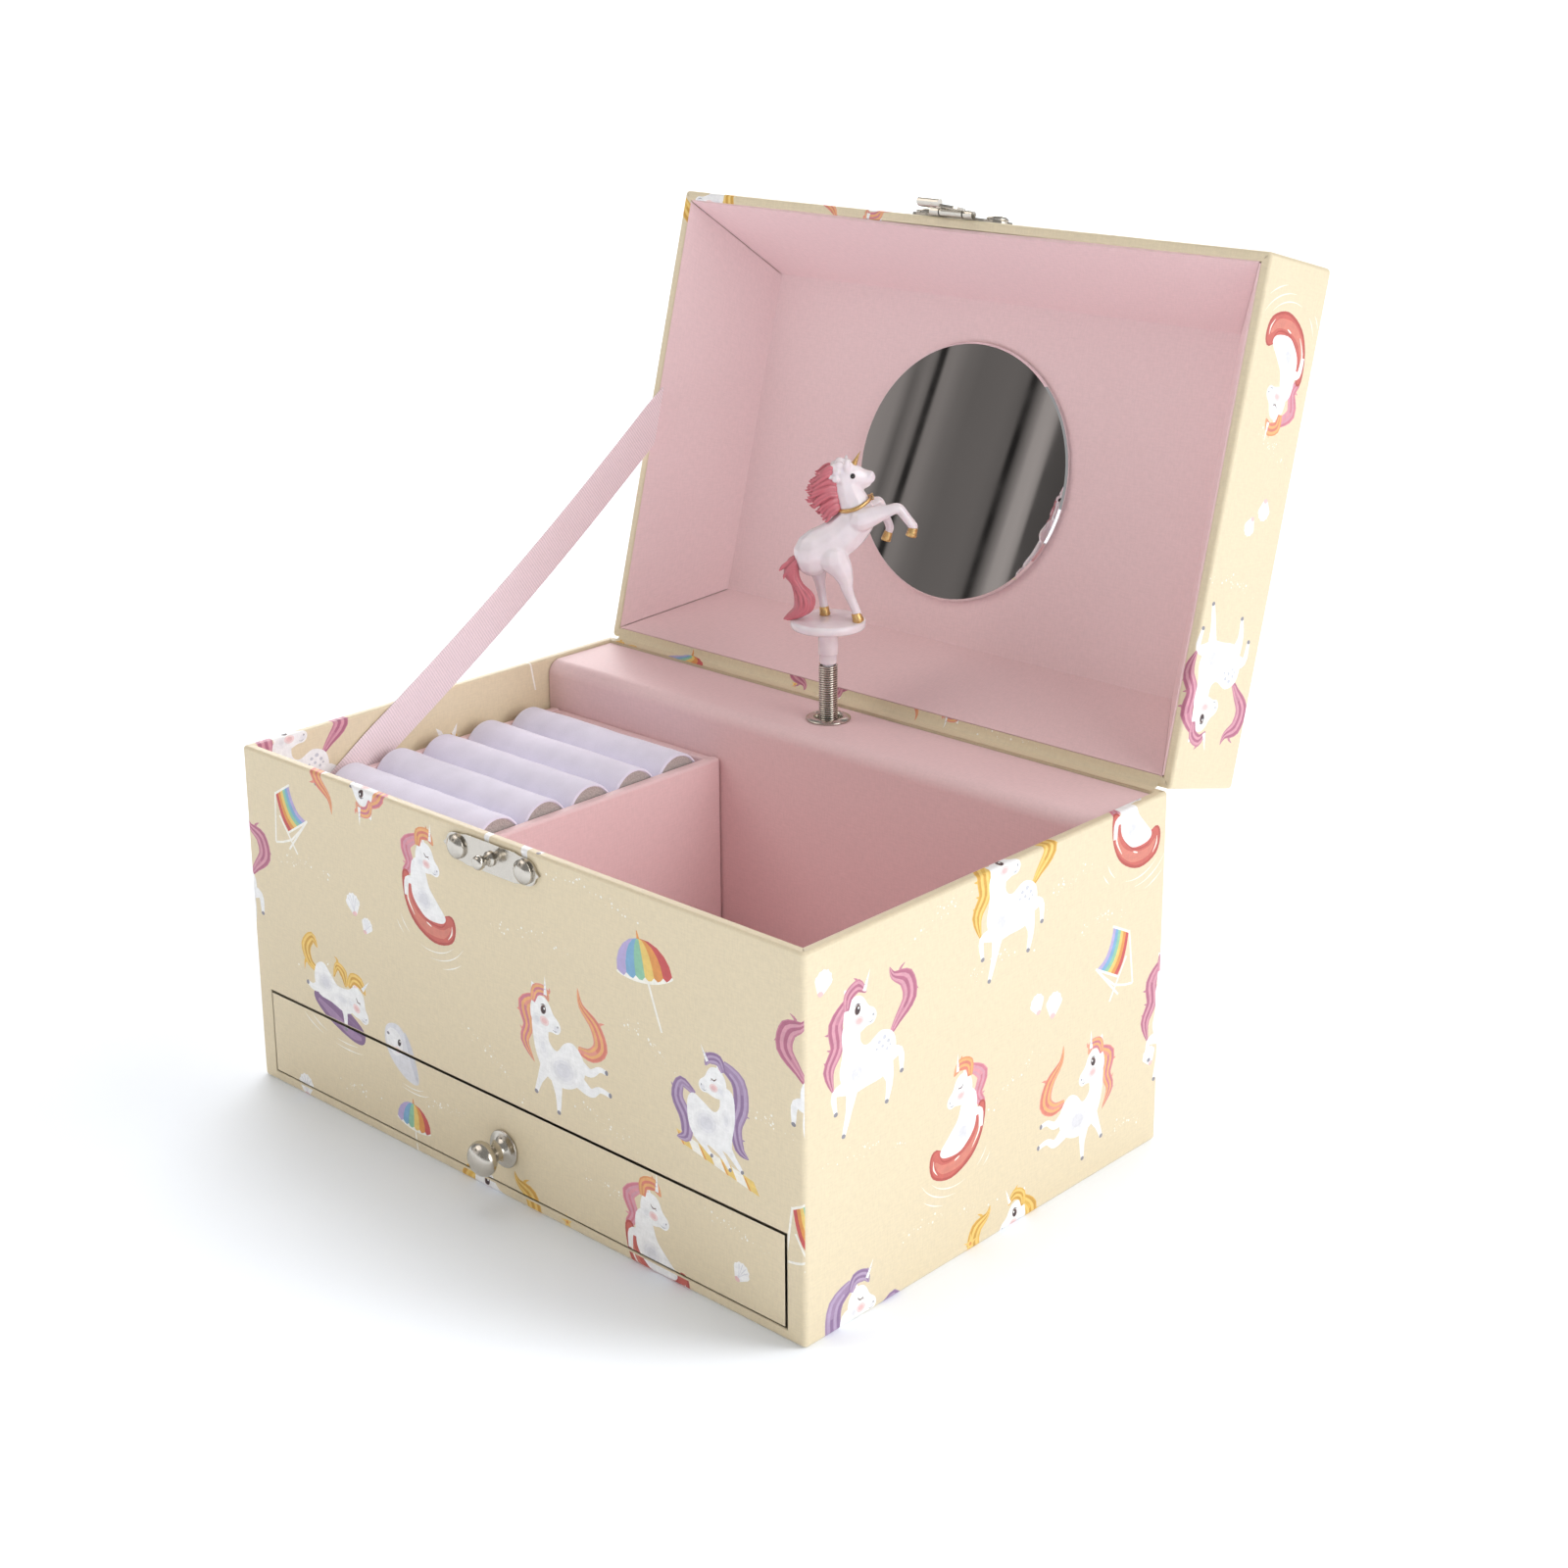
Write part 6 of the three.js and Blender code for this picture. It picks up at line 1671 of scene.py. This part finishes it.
    tail = [chain([(-6.6, 0, 15.0, 1.1), (-8.6, 0, 13.6, 1.5), (-8.0, 0, 9.6, 1.0), (-6.0, 0, 5.8, 1.5),
                (-6.4, 0, 2.4, 1.7), (-7.8, 0, 0.9, 1.0)], 0.9, 5)]
    for k in range(22):
        a = 2 * math.pi * (k + rng.uniform(-0.3, 0.3)) / 22
        du, dw = math.cos(a), math.sin(a)
        lift, turn = rng.uniform(-0.5, 0.5), rng.uniform(-0.35, 0.35)
        tail.append(chain([(-6.0 + 0.3 * du, 0.5 * dw, 15.2 + 0.4 * du, 0.55),
                    (-8.2 + 1.4 * du, 1.4 * dw, 14.0 + 1.2 * du, 0.52),
                    (-8.7 + 1.4 * du, 1.4 * dw, 11.4 + 0.4 * dw + lift, 0.46),
                    (-7.4 + 1.1 * du, 1.2 * dw + turn, 8.6, 0.42),
                    (-5.7 + 2.0 * du + 0.3 * turn, 1.8 * dw + turn, 5.4 + lift, 0.46),
                    (-6.0 + 2.2 * du, 1.8 * dw, 2.6 + lift, 0.46),
                    (-8.0 + 1.8 * du, 1.3 * dw, 0.9 + 0.4 * lift, 0.36),
                    (-9.6 + 1.0 * du, 0.9 * dw, 0.1 + 0.3 * lift, 0.2)], 1.0, 7))
    tail.append(chain([(-8.8, -0.4, 14.2, 0.8), (-10.6, -0.6, 13.2, 0.6), (-11.6, -0.6, 12.2, 0.2)], 1.0, 4))
    tail.append(chain([(-9.2, -0.8, 12.4, 0.6), (-10.4, -1.0, 11.2, 0.4), (-10.6, -0.9, 10.2, 0.15)], 1.0, 4))
    sculpt("tail", tail, 0.13, 0.3, 1, "figurine", HAIR, ["unicorn_tail"], 0.3)

    def figure_lathe(name, profile, base, tip, material, slot, sides=20, crease=40):
        """Turned about the line from base to tip, heights from base."""
        base, tip = Vector(base), Vector(tip)
        turn = (tip - base).to_track_quat("Z", "Y").to_matrix().to_4x4()
        place = FIGURE @ Matrix.Translation((base.x, base.y, base.z + PLATFORM_TOP)) @ turn
        points, faces = lathe(profile, sides)
        return build(name, points, faces, "figurine", material, slot, (), place, crease=crease)

    spiral = [(0, -0.6), (0.72, -0.6), (0.72, 0)]
    for t in range(1, 14):
        k = t / 14
        spiral.append((0.72 * (1 - k) + (0.09 if t % 2 else -0.05) * (1 - k * 0.7), 3.5 * k))
    figure_lathe("horn", spiral + [(0, 3.6)], (6.1, 0, 37.7), (7.7, 0, 41.1), GOLD, "white_resin", 24)
    for name, base, tip, r in (("hoof_near_front", (20.1, -2.9, 23.0), (19.5, -2.9, 20.8), 1.35),
            ("hoof_far_front", (14.6, 3.0, 20.6), (13.9, 3.0, 18.4), 1.25),
            ("hoof_near_hind", (6.5, -3.1, 2.2), (7.2, -3.1, 0.0), 1.45), ("hoof_far_hind", (-0.9, 3.1, 2.2),
                (-0.6, 3.1, 0.0), 1.35)):
        length = (Vector(tip) - Vector(base)).length
        figure_lathe(name, [(0, 0), (r * 0.72, 0), (r * 0.82, 0.12), (r * 0.9, length * 0.5),
                (r, length - 0.25), (r * 0.93, length), (0, length)], base, tip, GOLD, "white_resin")
    # The collar hangs lower at the back of the neck, with a small bow in front.
    loops = [
        [Vector((6.3 + 3.9 * math.cos(a), 3.45 * math.sin(a), 28.3 + 1.5 * math.cos(a)
                    - 0.6 * math.sin(a) ** 2)) for a in (2 * math.pi * i / 40 for i in range(40))]]
    for side in (-1, 1):
        loops.append([
            Vector((10.35 + 0.35 * math.cos(a), side * (0.9 + 0.75 * math.cos(a)), 29.9 + 0.45 * math.sin(a)))
            for a in (2 * math.pi * i / 16 for i in range(16))
        ])
    parts = []
    for index, loop in enumerate(loops):
        points, faces = [], []
        count, sides, thick = len(loop), 8, 0.5 if index == 0 else 0.2
        for i, centre in enumerate(loop):
            ahead = (loop[(i + 1) % count] - loop[i - 1]).normalized()
            out = Vector((0, 0, 1)).cross(ahead).normalized()
            rise = ahead.cross(out)
            for j in range(sides):
                b = 2 * math.pi * j / sides
                points.append(tuple(centre + out * thick * 0.75 * math.cos(b) + rise * thick * math.sin(b)))
        for i in range(count):
            for j in range(sides):
                faces.append([i * sides + j, ((i + 1) % count) * sides + j, ((i + 1) % count) * sides
                        + (j + 1) % sides, i * sides + (j + 1) % sides])
        parts.append((points, faces, points, points))
    points, faces, _, _ = joined(parts)
    made = build("collar", points, faces, "figurine", GOLD, "white_resin", (),
                 FIGURE @ Matrix.Translation((0, 0, PLATFORM_TOP)), crease=80)
    recalculate(made)
    for side in (-1, 1):
        ball = lathe([(0, -0.66)] + [(0.66 * math.sin(math.pi * k / 10), -0.66 * math.cos(math.pi * k / 10))
                for k in range(1, 10)] + [(0, 0.66)], 16)
        place = FIGURE @ Matrix.Translation((5.7, side * 2.25, 35.4 + PLATFORM_TOP))
        build(f"eye_{'left' if side > 0 else 'right'}", *ball, "figurine", BLACK, "white_resin", (), place,
            crease=80)


def make_platform():
    radius, low, top = 9.1, 108.0, PLATFORM_TOP
    profile = [(0, 97.5), (1.3, 97.5), (1.3, 98.9), (2.0, 99.1), (2.1, 99.6), (2.1, 101.2), (2.15, 101.3)]
    profile += arc(2.15, 101.55, 0.25, -90, 0, 3) + [(2.4, 104.0), (2.35, 107.0), (2.5, 107.7), (3.0, low)]
    profile += [(radius - 0.8, low)] + arc(radius - 0.8, low + 0.8, 0.8, -90, 0, 6)
    profile += arc(radius - 0.9, top - 0.9, 0.9, 0, 90, 7) + [(0, top)]
    points, faces = lathe(profile, 72)
    build("platform", points, faces, "figurine", WHITE, "white_resin", ["figurine_platform"],
          Matrix.Translation((SPINDLE.x, SPINDLE.y, 0)), crease=40)


# ---------- fittings ----------
def rivet_profile(grip):
    under, inside_ = 0.7, -grip - 0.1
    return ([(0, inside_ - 0.5), (1.5, inside_ - 0.5), (1.9, inside_ - 0.3), (1.9, inside_), (0.9, inside_),
            (0.9, under), (2.75, under)] + arc(2.45, under + 0.45, 0.35, -30, 60, 4) + [(2.1, under + 1.1),
            (1.5, under + 1.38), (0.8, under + 1.5), (0, under + 1.52)])


def make_fittings():
    for name, side in (("left", -1), ("right", 1)):
        turned(f"latch_stud_{name}", rivet_profile(3.8), "case", NICKEL, "nickel", [f"latch_rivet_{name}"],
            "-Y", (side * 10.9, -HALF_Y, HEIGHT - 4.5))
        turned(f"hasp_stud_{name}", rivet_profile(2.5), "lid", NICKEL, "nickel", [f"hasp_rivet_{name}"], "-Y",
               (side * 10.9, -2 * HALF_Y, 4.5), LID)
    post = [(0, 0.65), (1.62, 0.65), (1.7, 0.75), (1.7, 1.1), (1.5, 1.3), (1.15, 1.5), (1.05, 2.1),
        (1.1, 2.7), (1.45, 3.15)]
    post += arc(0.75, 3.95, 0.9, -25, 70, 6) + [(0.5, 4.84), (0, 4.9)]
    turned("post", post, "case", NICKEL, "nickel", ["latch_post"], "-Y", (0, -HALF_Y, HEIGHT - 4.5))
    top = COVER_TOP
    eyelet = [(3.3, top - 3.0), (3.9, top - 3.0), (3.9, top + 0.05), (5.3, top + 0.05)]
    eyelet += arc(5.25, top + 0.3, 0.25, -90, 60, 4) + [(4.6, top + 0.9), (4.0, top + 1.02),
        (3.6, top + 0.85), (3.32, top + 0.4), (3.3, top - 3.0)]
    turned("eyelet", eyelet, "case", NICKEL, "nickel", ["spindle_eyelet"], origin=(SPINDLE.x, SPINDLE.y, 0),
        sides=64)
    cad_materials = {
        "drawer_knob_screw": STEEL, "latch_plate": NICKEL, "hasp_plate": NICKEL, "hasp_flap": NICKEL,
        "movement_bedplate": STEEL, "movement_comb": STEEL, "pinned_drum": BRASS, "spring_barrel": BRASS,
        "winding_arbor": STEEL, "winding_key": NICKEL, "governor_wheel": BRASS, "governor_fan": STEEL,
        "figurine_spindle": BRASS, "stop_pin": STEEL,
    }
    for name, material in cad_materials.items():
        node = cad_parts[name]
        node.data.materials.clear()
        node.data.materials.append(material)
        node.data.shade_smooth()
        node.data.set_sharp_from_angle(angle=math.radians(32))
        if name in ("latch_plate", "hasp_plate", "hasp_flap", "winding_key"):
            edge = node.modifiers.new("edge", "BEVEL")
            edge.width, edge.segments, edge.limit_method = 0.12 * MM, 2, "ANGLE"
            edge.angle_limit = math.radians(35)
            edge.harden_normals = True


# ---------- stage ----------
def emitter(name, colour):
    """An unlit surface of the given grey, or of what colour makes of its shader."""
    shader = Shader(name, (0, 0, 0), 1.0)
    value = colour(shader) if callable(colour) else (*linear(*colour), 1)
    emission = shader.node("Emission", {"Color": value, "Strength": 1.0})
    shader.tree.links.new(emission.outputs[0], shader.tree.nodes["Material Output"].inputs["Surface"])
    return shader.material


def card(name, centre, right, up, half_width, half_height, material):
    """A card that only reflections see."""
    centre, right, up = (Vector(v) for v in (centre, right, up))
    mesh = bpy.data.meshes.new(name)
    mesh.from_pydata([(-half_width, -half_height, 0), (half_width, -half_height, 0),
            (half_width, half_height, 0), (-half_width, half_height, 0)], [], [[0, 1, 2, 3]])
    mesh.materials.append(material)
    made = bpy.data.objects.new(name, mesh)
    made.matrix_world = Matrix.Translation(centre) @ Matrix((right, up,
            right.cross(up))).transposed().to_4x4()
    bpy.context.scene.collection.objects.link(made)
    made.visible_camera = made.visible_diffuse = made.visible_shadow = made.visible_transmission = False
    return made


# What the mirror shows: (place across the dark card in millimetres, its grey).
BANDS = [
    (-85, 143), (-60, 130), (-54, 92), (-47, 119), (-43.5, 106), (-42, 37), (-39, 37), (-37, 123),
    (-32, 123), (-24, 106), (-14, 97), (8, 101), (17, 95), (19.4, 33), (22, 33), (25, 92), (29.5, 128),
    (31.5, 152), (38, 156), (42, 143), (44.5, 77), (64, 69),
]


def banded(shader):
    place = shader.node("TexCoord").outputs["Object"]
    across = shader.node("VectorMath", {0: place, 1: (0.953, -0.304, 0.0)}, operation="DOT_PRODUCT").outputs[
        "Value"]
    ramp = shader.node("ValToRGB", {"Fac": shader.span(across, -0.1, 0.1)})
    stops = ramp.color_ramp.elements
    while len(stops) < len(BANDS):
        stops.new(0.5)
    for stop, (at, grey) in zip(stops, BANDS):
        stop.position = (at + 100) / 200
        stop.color = (*linear(grey, grey * 0.955, grey * 0.93), 1)
    return ramp.outputs["Color"]


WARM = (1.0, 0.93, 0.87)  # the colour of the lamps that light the front


def make_stage():
    scene = bpy.context.scene
    scene.view_settings.view_transform = "Standard"
    floor = Shader("floor", linear(245, 249, 255), 0.8, Specular_IOR_Level=0.1)
    grain = floor.noise(3.0, 2.0)
    floor.uneven(grain, 0.78, 0.84)
    size = 20
    mesh = bpy.data.meshes.new("floor")
    mesh.from_pydata([(-size, -size, 0), (size, -size, 0), (size, size, 0), (-size, size, 0)], [],
        [[0, 1, 2, 3]])
    mesh.materials.append(floor.material)
    ground = bpy.data.objects.new("floor", mesh)
    scene.collection.objects.link(ground)

    # White paper all round, which only the camera sees.
    sides, away = 48, 15
    around = [(away * math.cos(2 * math.pi * i / sides), away * math.sin(2 * math.pi * i / sides))
        for i in range(sides)]
    mesh = bpy.data.meshes.new("backdrop")
    mesh.from_pydata([(x, y, z) for z in (-0.1, away) for x, y in around], [], quads(2, sides))
    mesh.materials.append(emitter("backdrop", (255, 255, 255)))
    backdrop = bpy.data.objects.new("backdrop", mesh)
    backdrop.visible_diffuse = backdrop.visible_glossy = False
    backdrop.visible_shadow = backdrop.visible_transmission = False
    scene.collection.objects.link(backdrop)

    world = bpy.data.worlds.new("studio")
    scene.world = world
    world.use_nodes = True
    world.node_tree.nodes["Background"].inputs["Color"].default_value = (1, 1, 1, 1)
    world.node_tree.nodes["Background"].inputs["Strength"].default_value = 0.325
    # Each lamp is a large soft source: direction in degrees round from +X and up, and the light it gives.
    # Five light the box and five light the floor, so that its shadow is soft and falls in front.
    for name, around, height, level, on_floor in (("side", 0, 20, 0.42, False),
            ("behind_right", 45, 45, 0.23, False), ("behind_left", 135, 20, 0.64, False),
            ("front_left", 225, 45, 0.16, False), ("front_low", 225, 20, 0.055, False),
            ("floor_behind", 45, 20, 0.81, True), ("floor_behind_high", 45, 45, 0.275, True),
            ("floor_left", 135, 45, 0.225, True), ("floor_above", 135, 68, 0.365, True),
            ("floor_front", 225, 20, 0.44, True)):
        data = bpy.data.lights.new(name, "SUN")
        data.energy, data.angle = level * math.pi, math.radians(40)
        if name.startswith("front"):
            data.color = WARM
        a, h = math.radians(around), math.radians(height)
        toward = Vector((math.cos(a) * math.cos(h), math.sin(a) * math.cos(h), math.sin(h)))
        lamp = bpy.data.objects.new(name, data)
        lamp.matrix_world = toward.to_track_quat("Z", "Y").to_matrix().to_4x4()
        scene.collection.objects.link(lamp)
        lit = bpy.data.collections.new(name)
        lit.objects.link(ground)
        lit.collection_objects[0].light_linking.link_state = "INCLUDE" if on_floor else "EXCLUDE"
        lamp.light_linking.receiver_collection = lit
    # The mirror shows the dark side of the studio.
    card("dark_card", (-0.6119, -0.6852, 0.3275), (0.7214, -0.6055, 0.3361), (-0.1920, 0.2914, 0.9371), 0.13,
        0.13, emitter("dark_card", banded))


make_case()
make_drawer()
make_cover()
make_insert()
make_lid()
make_hinge()
make_ribbon()
make_spring()
make_platform()
make_unicorn()
make_fittings()
make_stage()
